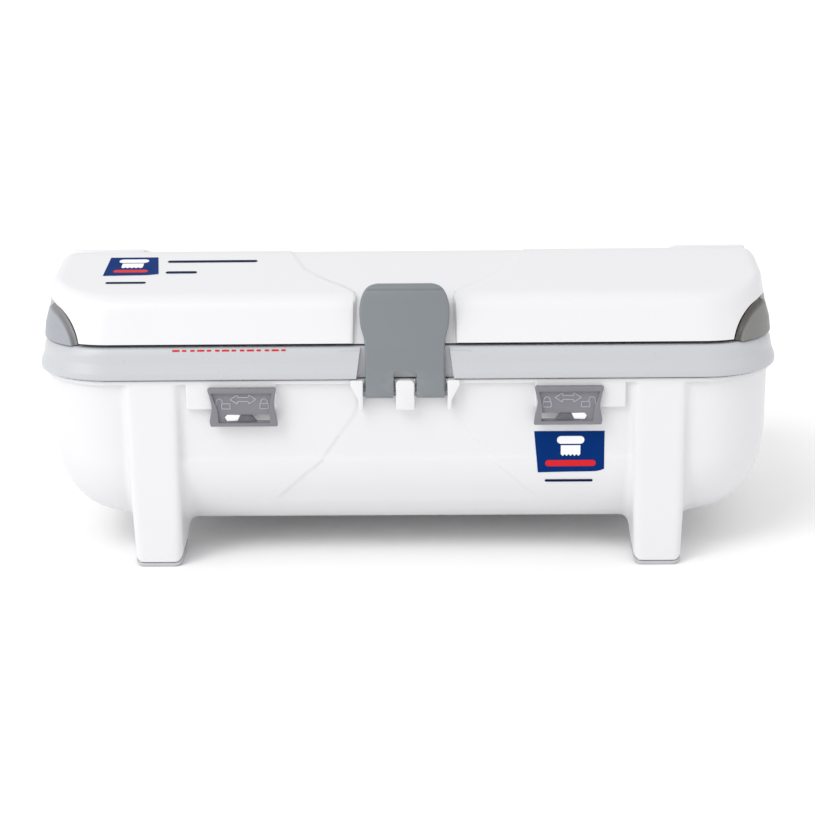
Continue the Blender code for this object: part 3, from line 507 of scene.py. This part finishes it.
def make_pad(side):
    """The grey piece in the cut-away corner of the lid: a flat face with a broad chamfer round it."""
    edge_points = [tuple(point) for point in through(PAD_OUTLINE, 4)]
    outline = [(214.0, 120.0), (182.4, 120.0), *edge_points, (214.0, 148.4)]

    def rule(x, y, z):
        half = np.interp(z, PAD_HEIGHTS, PAD_HALF)
        plan, _ = plan_distance(x, y, half, half - PAD_DEPTH_LESS, PAD_CORNER)
        edge = outline_distance(side * x, z, outline)
        sunk = plan + 3.2 * ease((edge + 4.2) / 3.4)
        pad = soft_max(soft_max(sunk, edge, 0.6), -plan - 5.2, 0.8)
        pad = soft_max(pad, PAD_BOTTOM - z, 0.6)
        return soft_max(pad, y - PAD_BACK, 0.8)

    x = span(side, (181.0, 209.0))
    pad = smooth(skin("corner_pad", rule, (x[0], -106.5, 127.0), (x[1], -62.5, 149.5), 0.6), 50)
    points = np.array([tuple(vertex.co) for vertex in pad.data.vertices]) / MM
    edge = outline_distance(side * points[:, 0], points[:, 2], outline)
    # Marks the chamfer for its darker colour, which is painted shade.
    shade = pad.data.attributes.new(PAINTED_CHAMFER_SHADE, "FLOAT", "POINT")
    shade.data.foreach_set("value", ease((edge + 4.0) / 1.4))
    return pad


# The lid

PROFILE_POINTS, LID_WALL = 110, 2.5


def lid_path(front, fall, inset, back):
    """The lid's section from its front edge over the ridge to its rear edge, and the way along it.

    The points lie closer together near both edges."""
    lean = (SHOULDER[0] - LID_FRONT_Y) / (SHOULDER[1] - LID_BOTTOM)
    rise = (RIDGE[1] - SHOULDER[1]) / (RIDGE[0] - SHOULDER[0])
    top_at = SHOULDER[1] - inset - fall + rise * (front - LID_FRONT_Y)
    shoulder_z = (top_at - rise * lean * LID_BOTTOM) / (1 - rise * lean)
    shoulder_y = front + lean * (shoulder_z - LID_BOTTOM)
    path = np.array(corner_path([
        (front, LID_BOTTOM, 0),
        (shoulder_y, shoulder_z, 12.0 - inset),
        (RIDGE[0], RIDGE[1] - inset - fall, 40.0),
        (back - HEEL[0], LID_BOTTOM + HEEL[1] - (inset + fall) / 2, 5.0),
        (back, LID_BOTTOM, 0),
    ], 14))
    run = np.concatenate([[0], np.cumsum(np.linalg.norm(np.diff(path, axis=0), axis=1))])
    share = np.linspace(0, 1, PROFILE_POINTS)
    run_at = run[-1] * (share - 0.045 * np.sin(math.tau * share))
    return np.stack([np.interp(run_at, run, path[:, 0]), np.interp(run_at, run, path[:, 1])], 1), run_at


# The recess round the clip: how far along the section, its half width there and its depth
RECESS_RUN = (0, 20, 27, 33, 40, 50, 66, 90, 100, 130)
LID_RECESS_HALF = (28.6, 28.3, 27.2, 29.0, 34.5, 45.5, 59.0, 67.5, 69.5, 72.0)
LID_RECESS_DEPTH = (3.0, 2.9, 2.4, 1.6, 1.1, 0.85, 0.75, 0.7, 0.6, 0.0)
RECESS_REACH = 80            # sections further out than this have no recess


def lid_ring(side, gap, inset):
    corner, edge = RIM_CORNER - 3 - inset, 8.0
    x = LID_X - inset - gap
    round_in = corner - math.sqrt(corner ** 2 - (corner - gap) ** 2) if gap < corner else 0.0
    fall = edge - math.sqrt(edge ** 2 - (edge - gap) ** 2) if gap < edge else 0.0
    front, back = LID_FRONT_Y + inset + round_in, LID_BACK_Y - inset - round_in * 0.3
    path, run = lid_path(front, fall, inset, back)
    if x < RECESS_REACH:
        along = np.gradient(path, axis=0)
        along /= np.linalg.norm(along, axis=1, keepdims=True)
        depth = np.interp(run, RECESS_RUN, LID_RECESS_DEPTH)
        half = np.interp(run, RECESS_RUN, LID_RECESS_HALF)
        sink = depth * ease((half - x) / (0.9 + 0.35 * depth) + 0.5)
        path = path + np.stack([along[:, 1], -along[:, 0]], 1) * sink[:, None]
    share = np.minimum(1, (path[:, 1] - LID_BOTTOM) / (SHOULDER[1] - LID_BOTTOM))
    taper = 1 - (1 - LID_TOP_X / LID_X) * share
    return [(side * x * t, y, z) for t, (y, z) in zip(taper, path)]


def lid_gaps():
    corner = RIM_CORNER - 3
    gaps = [corner * (1 - math.cos(math.radians(angle))) for angle in np.arange(0, 91, 3.5)]
    gaps += [LID_X - x for x in np.arange(156.0, 79.9, -6.0)]
    gaps += [LID_X - x for x in np.arange(76.0, 0.4, -1.0)]
    return gaps


def make_ear(side):
    """A raised pad on the slope behind the ridge."""
    outline = []
    for y, lift in ((5.0, -1.2), (41.0, -1.2), (40.0, 2.5), (6.0, 2.7)):
        outline.append((y, RIDGE[1] + REAR_SLOPE * (y - RIDGE[0]) + lift))
    return prism("ear", outline, "X", *span(side, (158.5, 201.5)), 1.4, 4)


def make_lid():
    gaps = lid_gaps()
    rows = [(-1, gap) for gap in gaps] + [(1, gap) for gap in reversed(gaps)]
    shells = [
        [lid_ring(side, gap * (1 - inset / 60), inset) for side, gap in rows]
        for inset in (0.0, LID_WALL)
    ]
    count, stations = PROFILE_POINTS, len(rows)
    points = [point for shell in shells for ring in shell for point in ring]
    inside = count * stations
    faces = []
    for shift in (0, inside):
        for row in range(stations - 1):
            for k in range(count - 1):
                a = shift + row * count + k
                faces.append((a, a + 1, a + count + 1, a + count))
        faces.append(tuple(shift + k for k in range(count)))
        faces.append(tuple(shift + (stations - 1) * count + k for k in range(count)))
    for row in range(stations - 1):
        for k in (0, count - 1):
            a = row * count + k
            faces.append((a, a + count, inside + a + count, inside + a))
    for row in (0, stations - 1):
        a, b = row * count, row * count + count - 1
        faces.append((a, b, inside + b, inside + a))
    lid = body("lid_cover", points, faces)
    for side in (-1, 1):
        edge = [(215, 120), (181.6, 120), *[tuple(point) for point in through(LID_CUT)], (215, 149.4)]
        cut(lid, prism("pad_gap", [(side * x, z) for x, z in edge], "Y", -115, -61.5))
        add(lid, make_ear(side))
        middle = span(side, LID_KNUCKLES[1])
        add(lid, rod("knuckle", BARREL, LID_AXIS, middle, 0.4))
        add(lid, block("web", middle, (95.2, 102.0), (130.2, 134.1)))
        cut(lid, rod("pin_hole", PIN + FIT, LID_AXIS, span(side, (151.3, 166.7))))
    return smooth(lid, 32)


# The clip and the latches

CLIP_STATIONS = (
    (102.3, 22.0, -102.7, 5.5), (107, 22.0, -102.6, 5.0), (114, 22.0, -102.5, 4.5),
    (127, 22.0, -102.5, 4.2), (133, 22.5, -101.3, 4.1), (137, 23.6, -100.9, 4.0),
    (141, 24.5, -100.5, 3.9), (149, 24.9, -100.2, 3.7), (155.4, 23.8, -99.8, 3.5),
    (159.5, 21.9, -99.2, 3.1), (161.6, 19.8, -98.7, 2.6), (162.5, 17.6, -98.4, 2.0),
    (162.9, 15.4, -98.2, 1.4),
)
CREASE_Z, LIP_Z = 159.9, 161.6


def make_clip():
    rings = []
    for z, half, back, thick in through(CLIP_STATIONS, 7):
        crease = 0.55 * math.exp(-((z - CREASE_Z) / 0.5) ** 2)
        lip = 0.35 * math.exp(-((z - LIP_Z) / 0.8) ** 2)
        front = back - thick + crease - lip
        edge = min(1.3, (back - front) / 2 - 0.05)
        rings.append(level(z, rounded(-half, half, front, back, edge, 5)))
    clip = loft("clip_lever", rings)
    add(clip, rod("barrel", CLIP_BARREL, CLIP_AXIS, (-22, 22), 0.5))
    notch = corner_path([
        (0, 96, 0), (6.4, 96, 0), (6.4, 115, 2.2), (-6.4, 115, 2.2), (-6.4, 96, 0), (0, 96, 0),
    ], 6)
    notch = [p for k, p in enumerate(notch[1:-1]) if p != notch[k]]
    cut(clip, prism("notch", notch, "Y", -112, -98))
    for side in (-1, 1):
        add(clip, rod("inner_stub", STUB, CLIP_AXIS, span(side, (3.4, 7.4)), 0.3))
        add(clip, rod("outer_stub", STUB, CLIP_AXIS, span(side, (21.0, 25.5)), 0.3))
    return smooth(clip, 36)


# The slider's window: along X from the middle, and in height
WINDOW_SPAN, WINDOW_Z = (75.8, 100.6), (86.9, 90.5)


def seen_from_front(side, points):
    return [(side * x, z) for x, z in points]


def make_slider(side):
    """A waisted plate with raised sides and top, and a window along its foot."""
    outer = through([(108.9, 84.4), (109.2, 87.5), (107.9, 94.5), (108.8, 100.5), (110.0, 105.2)])
    inner = through([(71.7, 105.2), (72.8, 100.0), (73.4, 95.5), (72.0, 89.5), (71.3, 84.4)])
    edge = [tuple(p) for p in outer] + [(109.4, 106.0), (72.2, 106.0)] + [tuple(p) for p in inner]
    edge += [(71.9, 84.0), (108.4, 84.0)]
    slider = prism("slider", seen_from_front(side, edge), "Y", -108.0, -104.8, 0.6)
    face_out = through([(104.2, 86.1), (105.0, 94.0), (107.0, 100.0), (108.0, 103.2)])
    face_in = through([(74.0, 103.2), (75.6, 96.0), (75.8, 90.5), (75.3, 86.1)])
    face = [tuple(p) for p in face_out + face_in]
    cut(slider, prism("face", seen_from_front(side, face), "Y", -110, -106.3, 0.35, 2))
    cut(slider, block("window", span(side, WINDOW_SPAN), (-110, -103), WINDOW_Z))
    add(slider, block("stem", span(side, (88.0, 95.0)), (-106.0, -98.8), (96.0, 101.0), 0.4))
    return smooth(slider, 32)


# The tab is coloured darker than the slider it belongs to: painted shade.
def slider_tab(side):
    tab = [(82.9, 86.9), (93.8, 86.9), (91.9, 90.4), (85.9, 90.4)]
    return smooth(prism("tab", seen_from_front(side, tab), "Y", -107.1, -105.0, 0.3, 2))


# The peg is tub plastic given the brighter print white: painted light where it stands proud in the
# window.
def slider_peg(side):
    peg = [(93.6, 87.2), (99.6, 86.9), (100.8, 89.2), (99.4, 90.6), (92.2, 90.4)]
    return smooth(prism("peg", seen_from_front(side, peg), "Y", -106.9, -104.9, 0.3, 2))


def stroke(points, width):
    """An open path given width, as a closed outline."""
    path = [Vector(point) for point in points]
    left, right = [], []
    for k, here in enumerate(path):
        run = (path[min(k + 1, len(path) - 1)] - path[max(k - 1, 0)]).normalized()
        across = Vector((-run.y, run.x)) * width / 2
        left.append(tuple(here + across))
        right.append(tuple(here - across))
    return left + right[::-1]


def slider_marks(side):
    """Symbols in relief: a double-headed arrow, a shut padlock (inner) and an open one (outer)."""
    deep, proud, line = -106.2, -106.62, 0.62
    arrow = [
        (83.0, 99.4), (87.2, 102.1), (87.2, 100.6), (93.4, 100.6), (93.4, 102.1), (97.6, 99.4),
        (93.4, 96.8), (93.4, 98.2), (87.2, 98.2), (87.2, 96.8), (83.0, 99.4),
    ]
    paths = [arrow]
    for x, turned in ((78.6, 0.0), (100.0, 3.6)):
        left, right = x - 2.3, x + 2.3
        paths.append([(left, 94.0), (right, 94.0), (right, 97.0), (left, 97.0), (left, 94.0)])
        shackle = []
        for t in np.linspace(0, math.pi, 13):
            drop = -1.6 if turned and t >= 3 else 0.0
            shackle.append((x + turned - 1.9 * math.cos(t), 97.2 + 2.6 * math.sin(t) + drop))
        paths.append(shackle)
    # The strokes take a lighter grey than the slider: painted highlight.
    whole = None
    for path in paths:
        for a, b in zip(path, path[1:]):
            bar = prism("mark", stroke(seen_from_front(side, (a, b)), line), "Y", deep, proud)
            if whole is None:
                whole = bar
            else:
                add(whole, bar)
    return smooth(whole, 40)


# Printed labels, each a thin sheet laid on the surface under it

PRINT_LIFT, OVERPRINT_LIFT, PRINT_THICKNESS = 0.15, 0.23, 0.05
LONGEST_EDGE = 1.8           # of a print's mesh before it is laid down


def laid_on(name, outlines, onto, origin, u_axis, v_axis, lift):
    """Prints outlines (u, v) on a surface: cast from origin + u and v along the plane's normal."""
    u_axis, v_axis = Vector(u_axis).normalized(), Vector(v_axis).normalized()
    normal = u_axis.cross(v_axis).normalized()
    tree = BVHTree.FromObject(onto, bpy.context.evaluated_depsgraph_get())
    work = bmesh.new()
    for outline in outlines:
        ring = [work.verts.new((u, v, 0)) for u, v in outline]
        work.faces.new(ring)
    bmesh.ops.triangulate(work, faces=work.faces)
    for _ in range(7):
        long_edges = [e for e in work.edges if e.calc_length() > LONGEST_EDGE]
        if not long_edges:
            break
        bmesh.ops.subdivide_edges(work, edges=long_edges, cuts=1)
        bmesh.ops.triangulate(work, faces=[f for f in work.faces if len(f.verts) > 3])
    top = Vector(origin)
    for vert in work.verts:
        start = top + u_axis * vert.co.x + v_axis * vert.co.y + normal * 30
        hit, facing, _, _ = tree.ray_cast(start * MM, -normal)
        vert.co = hit + facing * lift * MM if hit else start * MM
    faces = list(work.faces)
    grown = bmesh.ops.extrude_face_region(work, geom=faces)
    for vert in (g for g in grown["geom"] if isinstance(g, bmesh.types.BMVert)):
        vert.co += normal * PRINT_THICKNESS * MM
    bmesh.ops.recalc_face_normals(work, faces=work.faces)
    mesh = bpy.data.meshes.new(name)
    work.to_mesh(mesh)
    work.free()
    mesh.shade_smooth()
    mesh.set_sharp_from_angle(angle=math.radians(50))
    return link(name, mesh)


def panel(width, height, lean, flare):
    """A panel whose left side leans and right side flares, its foot bowed up a little to the right."""
    w, h = width / 2, height / 2
    foot = through([(-w - lean, -h), (0, -h * 0.97), (w * 0.75, -h * 0.95), (w + flare, -h * 0.84)], 5)
    return [tuple(p) for p in foot] + [(w, h), (-w, h)]


def pill(width, height, steps=14):
    return rounded(-width / 2, width / 2, -height / 2, height / 2, height / 2 - 0.01, steps)


def shifted(outline, u, v):
    return [(a + u, b + v) for a, b in outline]


def film_mark(size):
    """A roll of film lying down, with the film hanging from it to a toothed cut."""
    teeth = [(size * (0.86 - 0.172 * k), -size * (0.98 if k % 2 else 0.80)) for k in range(11)]
    film = [(-size * 0.86, size * 0.02), (size * 0.86, size * 0.02)] + teeth
    roll = shifted(pill(size * 2.4, size * 0.72), 0, size * 0.52)
    return [roll, film]


# The springs under the blade guard

SPRING_X, SPRING_Y = 158.0, -82.0
SPRING_FOOT, SPRING_HEAD = 121.3, 132.7


def make_spring(sign):
    """A compression spring with closed end turns."""
    turns, steps, sides, radius, wire = 5, 28, 12, 2.4, 0.42
    rings = []
    for step in range(turns * steps + 1):
        share = step / (turns * steps)
        turn = math.tau * turns * share
        eased = ease((share * turns - 0.6) / (turns - 1.2))
        even = np.clip((share * turns - 0.5) / (turns - 1), 0, 1)
        rise = eased * 0.25 + even * 0.75
        height = SPRING_FOOT + wire * 1.15 + (SPRING_HEAD - SPRING_FOOT - 2.3 * wire) * rise
        out = (math.cos(turn), math.sin(turn))
        ring = []
        for k in range(sides):
            angle = math.tau * k / sides
            reach = radius + wire * math.cos(angle)
            x, y = sign * SPRING_X + reach * out[0], SPRING_Y + reach * out[1]
            ring.append((x, y, height + wire * math.sin(angle)))
        rings.append(ring)
    return smooth(loft("spring", rings), 50)


# Materials

def wire(tree, a, b):
    tree.links.new(a, b)


def node(tree, kind, **inputs):
    made = tree.nodes.new(kind)
    for key, value in inputs.items():
        made.inputs[key.replace("_", " ")].default_value = value
    return made


def srgb(r, g, b):
    """Linear colour from 0 to 255 display values."""
    shares = (r / 255, g / 255, b / 255)
    return tuple(c / 12.92 if c <= 0.04045 else ((c + 0.055) / 1.055) ** 2.4 for c in shares)


def plastic(
    name, tint, roughness, grain, fleck, wear, stretch=(1, 1, 1), metallic=0.0, shine=0.5, edge=None,
):
    """Moulded plastic: faint mottling, uneven gloss, a fine grain and edges rubbed by use, and with
    edge given a chamfer painted darker as painted shade.
    """
    colour = srgb(*tint)
    material = bpy.data.materials.new(name)
    material.use_nodes = True
    tree = material.node_tree
    shader = tree.nodes["Principled BSDF"]
    shader.inputs["Metallic"].default_value = metallic
    shader.inputs["IOR"].default_value = 1.49
    shader.inputs["Specular IOR Level"].default_value = shine
    where = tree.nodes.new("ShaderNodeTexCoord")
    scale = node(tree, "ShaderNodeMapping", Scale=stretch)
    wire(tree, where.outputs["Object"], scale.inputs["Vector"])

    def noise(size, detail, rough=0.55):
        made = node(tree, "ShaderNodeTexNoise", Scale=size, Detail=detail, Roughness=rough)
        wire(tree, scale.outputs["Vector"], made.inputs["Vector"])
        return made.outputs["Fac"]

    def ranged(source, low, high, start=0.3, end=0.7):
        made = node(tree, "ShaderNodeMapRange", From_Min=start, From_Max=end, To_Min=low, To_Max=high)
        wire(tree, source, made.inputs["Value"])
        return made.outputs["Result"]

    def mixed(factor, a, b):
        made = tree.nodes.new("ShaderNodeMix")
        made.data_type = "RGBA"
        wire(tree, factor, made.inputs["Factor"])
        for socket, value in ((made.inputs["A"], a), (made.inputs["B"], b)):
            if isinstance(value, tuple):
                socket.default_value = value
            else:
                wire(tree, value, socket)
        return made.outputs["Result"]

    dark = tuple(c * (1 - fleck) for c in colour) + (1,)
    light = tuple(min(1.0, c * (1 + fleck * 0.6)) for c in colour) + (1,)
    rubbed = tuple(c + (0.9 - c) * 0.35 for c in colour) + (1,)
    speck = tuple(c * (1 - 2 * fleck) for c in colour) + (1,)
    tone = mixed(ranged(noise(14, 3), 0, 1, 0.2, 0.8), dark, light)
    specks = mixed(ranged(noise(1500, 2), 0, 0.5, 0.6, 0.8), tone, speck)
    edges = tree.nodes.new("ShaderNodeNewGeometry")
    rim = ranged(edges.outputs["Pointiness"], 0, 1, 0.52, 0.62)
    scuff = tree.nodes.new("ShaderNodeMath")
    scuff.operation = "MULTIPLY"
    wire(tree, rim, scuff.inputs[0])
    wire(tree, ranged(noise(160, 5, 0.7), 0, wear, 0.4, 0.7), scuff.inputs[1])
    painted = mixed(scuff.outputs["Value"], specks, rubbed)
    # Given edge, the chamfer is painted that darker colour: painted shade.
    if edge:
        chamfer = tree.nodes.new("ShaderNodeAttribute")
        chamfer.attribute_name = PAINTED_CHAMFER_SHADE
        painted = mixed(chamfer.outputs["Fac"], painted, srgb(*edge) + (1,))
    wire(tree, painted, shader.inputs["Base Color"])

    gloss = ranged(noise(60, 5), roughness * 0.88, roughness * 1.14)
    duller = tree.nodes.new("ShaderNodeMath")
    duller.operation = "MULTIPLY_ADD"
    wire(tree, scuff.outputs["Value"], duller.inputs[0])
    duller.inputs[1].default_value = 0.2
    wire(tree, gloss, duller.inputs[2])
    wire(tree, duller.outputs["Value"], shader.inputs["Roughness"])

    fine = node(tree, "ShaderNodeBump", Strength=grain, Distance=0.00004)
    wire(tree, noise(2600, 3), fine.inputs["Height"])
    sway = node(tree, "ShaderNodeBump", Strength=grain * 0.3, Distance=0.00008)
    wire(tree, noise(70, 2), sway.inputs["Height"])
    wire(tree, fine.outputs["Normal"], sway.inputs["Normal"])
    wire(tree, sway.outputs["Normal"], shader.inputs["Normal"])
    return material


# Display colour, roughness, grain, flecks, wear on the edges, and what else differs
LOOKS = {
    "white_plastic": ((221, 221, 223), 0.34, 0.20, 0.008, 0.03, {}),
    "light_grey_plastic": ((187, 189, 193), 0.30, 0.12, 0.006, 0.0, {}),
    "mid_grey_plastic": ((120, 125, 129), 0.40, 0.5, 0.02, 0.35, {}),
    "slider_grey_plastic": ((121, 120, 127), 0.42, 0.5, 0.02, 0.4, {}),
    # The marks' lighter grey is painted highlight on the relief's edges.
    "mark_grey_plastic": ((158, 156, 164), 0.45, 0.4, 0.03, 0.3, {}),
    # The tab is the slider grey darkened: painted shade where it sits back in the window.
    "tab_grey_plastic": ((86, 85, 94), 0.45, 0.5, 0.03, 0.4, {}),
    # The pads' edge colours are painted shade on their chamfers.
    "pad_grey_plastic": ((152, 156, 162), 0.42, 0.4, 0.02, 0.1, dict(edge=(128, 128, 130))),
    # The right pad's darker copy of the pad grey is painted shade: that pad lies on the side away from
    # the light.
    "pad_shaded_plastic": ((122, 123, 120), 0.42, 0.4, 0.02, 0.1, dict(edge=(86, 83, 80))),
    "foot_rubber": ((184, 184, 188), 0.62, 0.6, 0.02, 0.05, {}),
    "strip_rubber": ((72, 72, 75), 0.75, 1.0, 0.06, 0.3, {}),
    "roller_plastic": ((118, 120, 124), 0.45, 0.8, 0.05, 0.4, dict(stretch=(40, 1, 1))),
    "steel": ((196, 197, 200), 0.26, 0.8, 0.06, 0.3, dict(stretch=(1, 1, 30), metallic=1.0)),
    "print_blue": ((0, 44, 108), 0.5, 0.10, 0.03, 0.0, dict(shine=0.05)),
    "print_red": ((205, 30, 38), 0.4, 0.15, 0.03, 0.0, dict(shine=0.15)),
    "print_white": ((238, 238, 240), 0.4, 0.15, 0.01, 0.0, {}),
    "print_dark": ((14, 28, 66), 0.5, 0.10, 0.03, 0.0, dict(shine=0.05)),
}
MATERIALS = {name: plastic(name, *look, **more) for name, (*look, more) in LOOKS.items()}


def dress(made, material):
    made.data.materials.clear()
    made.data.materials.append(MATERIALS[material])
    made.data.polygons.foreach_set("material_index", [0] * len(made.data.polygons))
    return made


def place(made, name, riding, material, *nodes, slot=None):
    """Names a piece, gives it its material and body, and hides the CAD nodes it stands for."""
    made.name = name
    dress(made, material)
    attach(made, riding)
    if nodes:
        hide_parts(*nodes)
    if slot or material in frame_slots:
        slot or material
    return made


frame_slots = {entry.get("slot") for entry in frame["record"].get("materials", [])}
FRAME = "frame"
# The right pad takes the darker copy of the pad grey: painted shade.
PAD_MATERIALS = {"left": "pad_grey_plastic", "right": "pad_shaded_plastic"}

tub = place(make_tub(), "tub_body", "base", "white_plastic", "base_tub")
for side, sign in SIDES.items():
    for end, way in {"front": -1, "rear": 1}.items():
        foot = make_foot(way, sign)
        place(foot, f"foot_{end}_{side}", "base", "foot_rubber", f"foot_pad_{end}_{side}")
rim = place(make_rim(), "rim_frame", FRAME, "light_grey_plastic", "insert_frame")
lid = place(make_lid(), "lid_cover", "lid", "white_plastic", "lid_shell")
place(make_clip(), "clip_lever", "clip", "mid_grey_plastic", "center_clip")
for side, sign in SIDES.items():
    spring = place(make_spring(sign), f"spring_{side}", FRAME, "steel", f"guard_spring_{side}")
    foot = (sign * SPRING_X * MM, SPRING_Y * MM, SPRING_FOOT * MM)
    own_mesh(spring)
for side, sign in SIDES.items():
    place(make_pad(sign), f"lid_corner_{side}", FRAME, PAD_MATERIALS[side], f"corner_pad_{side}",
          slot="pad_grey_plastic")
    place(make_slider(sign), f"latch_face_{side}", f"latch_{side}", "slider_grey_plastic",
          f"latch_slider_{side}", slot="mid_grey_plastic")
    # The peg's print white, brighter than the tub's white, is painted light.
    for part, material, make in (
        ("marks", "mark_grey_plastic", slider_marks), ("tab", "tab_grey_plastic", slider_tab),
        ("peg", "print_white", slider_peg),
    ):
        place(make(sign), f"latch_{part}_{side}", f"latch_{side}", material, slot="mid_grey_plastic")

# Labels: a panel and two lines on the lid, a panel and a line on the tub, dashes on the rim
LID_RISE = math.atan2(RIDGE[1] - SHOULDER[1], RIDGE[0] - SHOULDER[0])
UP_LID = (0, math.cos(LID_RISE), math.sin(LID_RISE))
RIGHT, UP = (1, 0, 0), (0, 0, 1)
LID_LABEL = (-158.4, -48.2, 163.0)
TUB_LABEL = (91.5, -104.0, 66.0)


def print_on(name, riding, onto, origin, v_axis, outlines, material, lift=PRINT_LIFT):
    return place(laid_on(name, outlines, onto, origin, RIGHT, v_axis, lift), name, riding, material)


def print_label(prefix, riding, onto, origin, v_axis, width, height, lean, flare):
    """A blue panel with a red band along its foot and a roll of film in white."""
    ground = panel(width, height, lean, flare)
    print_on(f"{prefix}_panel", riding, onto, origin, v_axis, [ground], "print_blue")
    band = shifted(pill(width * 0.72, height * 0.15), width * 0.02, -height * 0.27)
    print_on(f"{prefix}_band", riding, onto, origin, v_axis, [band], "print_red", OVERPRINT_LIFT)
    mark = [shifted(outline, width * 0.02, height * 0.15) for outline in film_mark(height * 0.26)]
    print_on(f"{prefix}_mark", riding, onto, origin, v_axis, mark, "print_white", OVERPRINT_LIFT)


print_label("lid_label", "lid", lid, LID_LABEL, UP_LID, 27.6, 27.6, 0.6, 3.4)
print_label("tub_label", "base", tub, TUB_LABEL, UP, 39.4, 24.5, -2.2, 0.0)
underline = [shifted(pill(23, 2.6), 0.2, -24.5)]
print_on("lid_label_line", "lid", lid, LID_LABEL, UP_LID, underline, "print_dark")
titles = [shifted(pill(52, 3.2), 46.2, 7.0), shifted(pill(18, 3.2), 30.0, -9.5)]
print_on("lid_title_lines", "lid", lid, LID_LABEL, UP_LID, titles, "print_dark")
underline = [shifted(pill(27, 1.6), 0.0, -17.5)]
print_on("tub_label_line", "base", tub, TUB_LABEL, UP, underline, "print_dark")
dashes = [shifted(pill(2.6 if k % 3 else 4.2, 0.9, 6), k * 4.6, 0) for k in range(14)]
print_on("rim_dashes", FRAME, rim, (-127.0, -107.0, 126.6), UP, dashes, "print_red")

# The CAD pieces that are shown themselves, with their points joined
KEPT = {
    "strip_rubber": ("grip_strip_left", "grip_strip_right", "lid_press_pad"),
    "roller_plastic": ("feed_roller", "cradle_roller_front", "cradle_roller_rear"),
    "white_plastic": ("lid_press_bar",),
    "light_grey_plastic": (
        "blade_guard", "blade_holder", "feed_bracket_left", "feed_bracket_right",
        "cradle_bracket_left", "cradle_bracket_right", "latch_bolt_left", "latch_bolt_right",
    ),
    "steel": (
        "blade", "feed_axle", "cradle_axle_front", "cradle_axle_rear",
        "feed_screw_left", "feed_screw_right", "cradle_screw_left", "cradle_screw_right",
        "frame_hinge_pin_left", "frame_hinge_pin_right", "lid_hinge_pin_left", "lid_hinge_pin_right",
    ),
}
# Those whose names start with these words get softened edges, apart from the turned ones
BEVELLED = ("blade", "feed", "cradle", "latch", "lid")
KEPT_EDGE, WELD_REACH = 0.2, 0.01
for material, names in KEPT.items():
    for name in names:
        kept = frame["nodes"][name]
        dress(kept, material)
        kept.data.shade_smooth()
        weld = kept.modifiers.new("weld", "WELD")
        weld.merge_threshold = WELD_REACH * MM
        turned = "roller" in name or "axle" in name
        if name.split("_")[0] in BEVELLED and not turned:
            bevel(kept, KEPT_EDGE, 2)


# Floor, light and camera

FLOOR_HALF, FLOOR_TONE = 40.0, 0.97
SKY_STRENGTH = 0.90
SUN_ENERGY, SUN_SPREAD = 0.85, 28.0
SUBJECT = (0, 0, 0.1)
CAMERA_AT = (0.0263, -1.1597, 0.3906)
CAMERA_YAW, CAMERA_PITCH, CAMERA_ROLL = 1.368, 15.715, -0.728
CAMERA_LENS, SENSOR_WIDTH = 86.98, 36.0


def make_floor():
    mesh = bpy.data.meshes.new("floor")
    half = FLOOR_HALF
    corners = [(-half, -half, 0), (half, -half, 0), (half, half, 0), (-half, half, 0)]
    mesh.from_pydata(corners, [], [(0, 1, 2, 3)])
    floor = link("floor", mesh)
    material = bpy.data.materials.new("floor_paper")
    material.use_nodes = True
    shader = material.node_tree.nodes["Principled BSDF"]
    shader.inputs["Base Color"].default_value = (FLOOR_TONE, FLOOR_TONE, FLOOR_TONE, 1)
    shader.inputs["Roughness"].default_value = 0.85
    mesh.materials.append(material)


def aim(made, place_at, target):
    made.location = Vector(place_at)
    made.rotation_euler = (Vector(target) - Vector(place_at)).to_track_quat("-Z", "Y").to_euler()


def softbox(name, place_at, target, size, watts):
    light = bpy.data.lights.new(name, "AREA")
    light.shape = "RECTANGLE"
    light.size, light.size_y = size
    light.energy = watts
    aim(link(name, light), place_at, target)


def make_studio():
    make_floor()
    world = bpy.data.worlds.new("studio")
    bpy.context.scene.world = world
    world.use_nodes = True
    background = world.node_tree.nodes["Background"]
    background.inputs["Color"].default_value = (1.0, 1.0, 1.0, 1)
    background.inputs["Strength"].default_value = SKY_STRENGTH
    sun = bpy.data.lights.new("key", "SUN")
    sun.energy = SUN_ENERGY
    sun.angle = math.radians(SUN_SPREAD)
    aim(link("key", sun), (-1.2, -1.5, 2.2), SUBJECT)
    softbox("left_box", (-1.3, -1.0, 0.75), (-0.05, 0, 0.1), (0.9, 0.9), 5.0)
    softbox("right_box", (1.5, -0.9, 0.55), (0.1, 0, 0.1), (0.5, 0.9), 0.5)


def make_camera():
    """The viewing angle: a little above, a touch from the right, with a slight roll."""
    yaw, pitch, roll = (math.radians(angle) for angle in (CAMERA_YAW, CAMERA_PITCH, CAMERA_ROLL))
    level_ahead = math.cos(pitch)
    ahead = Vector((-math.sin(yaw) * level_ahead, math.cos(yaw) * level_ahead, -math.sin(pitch)))
    right = Vector((math.cos(yaw), math.sin(yaw), 0))
    up = right.cross(ahead)
    across, over = math.cos(roll), math.sin(roll)
    right, up = right * across + up * over, up * across - right * over
    data = bpy.data.cameras.new("camera")
    data.lens = CAMERA_LENS
    data.sensor_width = SENSOR_WIDTH
    data.clip_end = 200.0
    made = link("camera", data)
    turn = Matrix((right, up, -ahead)).transposed().to_4x4()
    made.matrix_world = Matrix.Translation(CAMERA_AT) @ turn
    bpy.context.scene.camera = made


make_studio()
make_camera()
bpy.context.scene.view_settings.view_transform = "Standard"
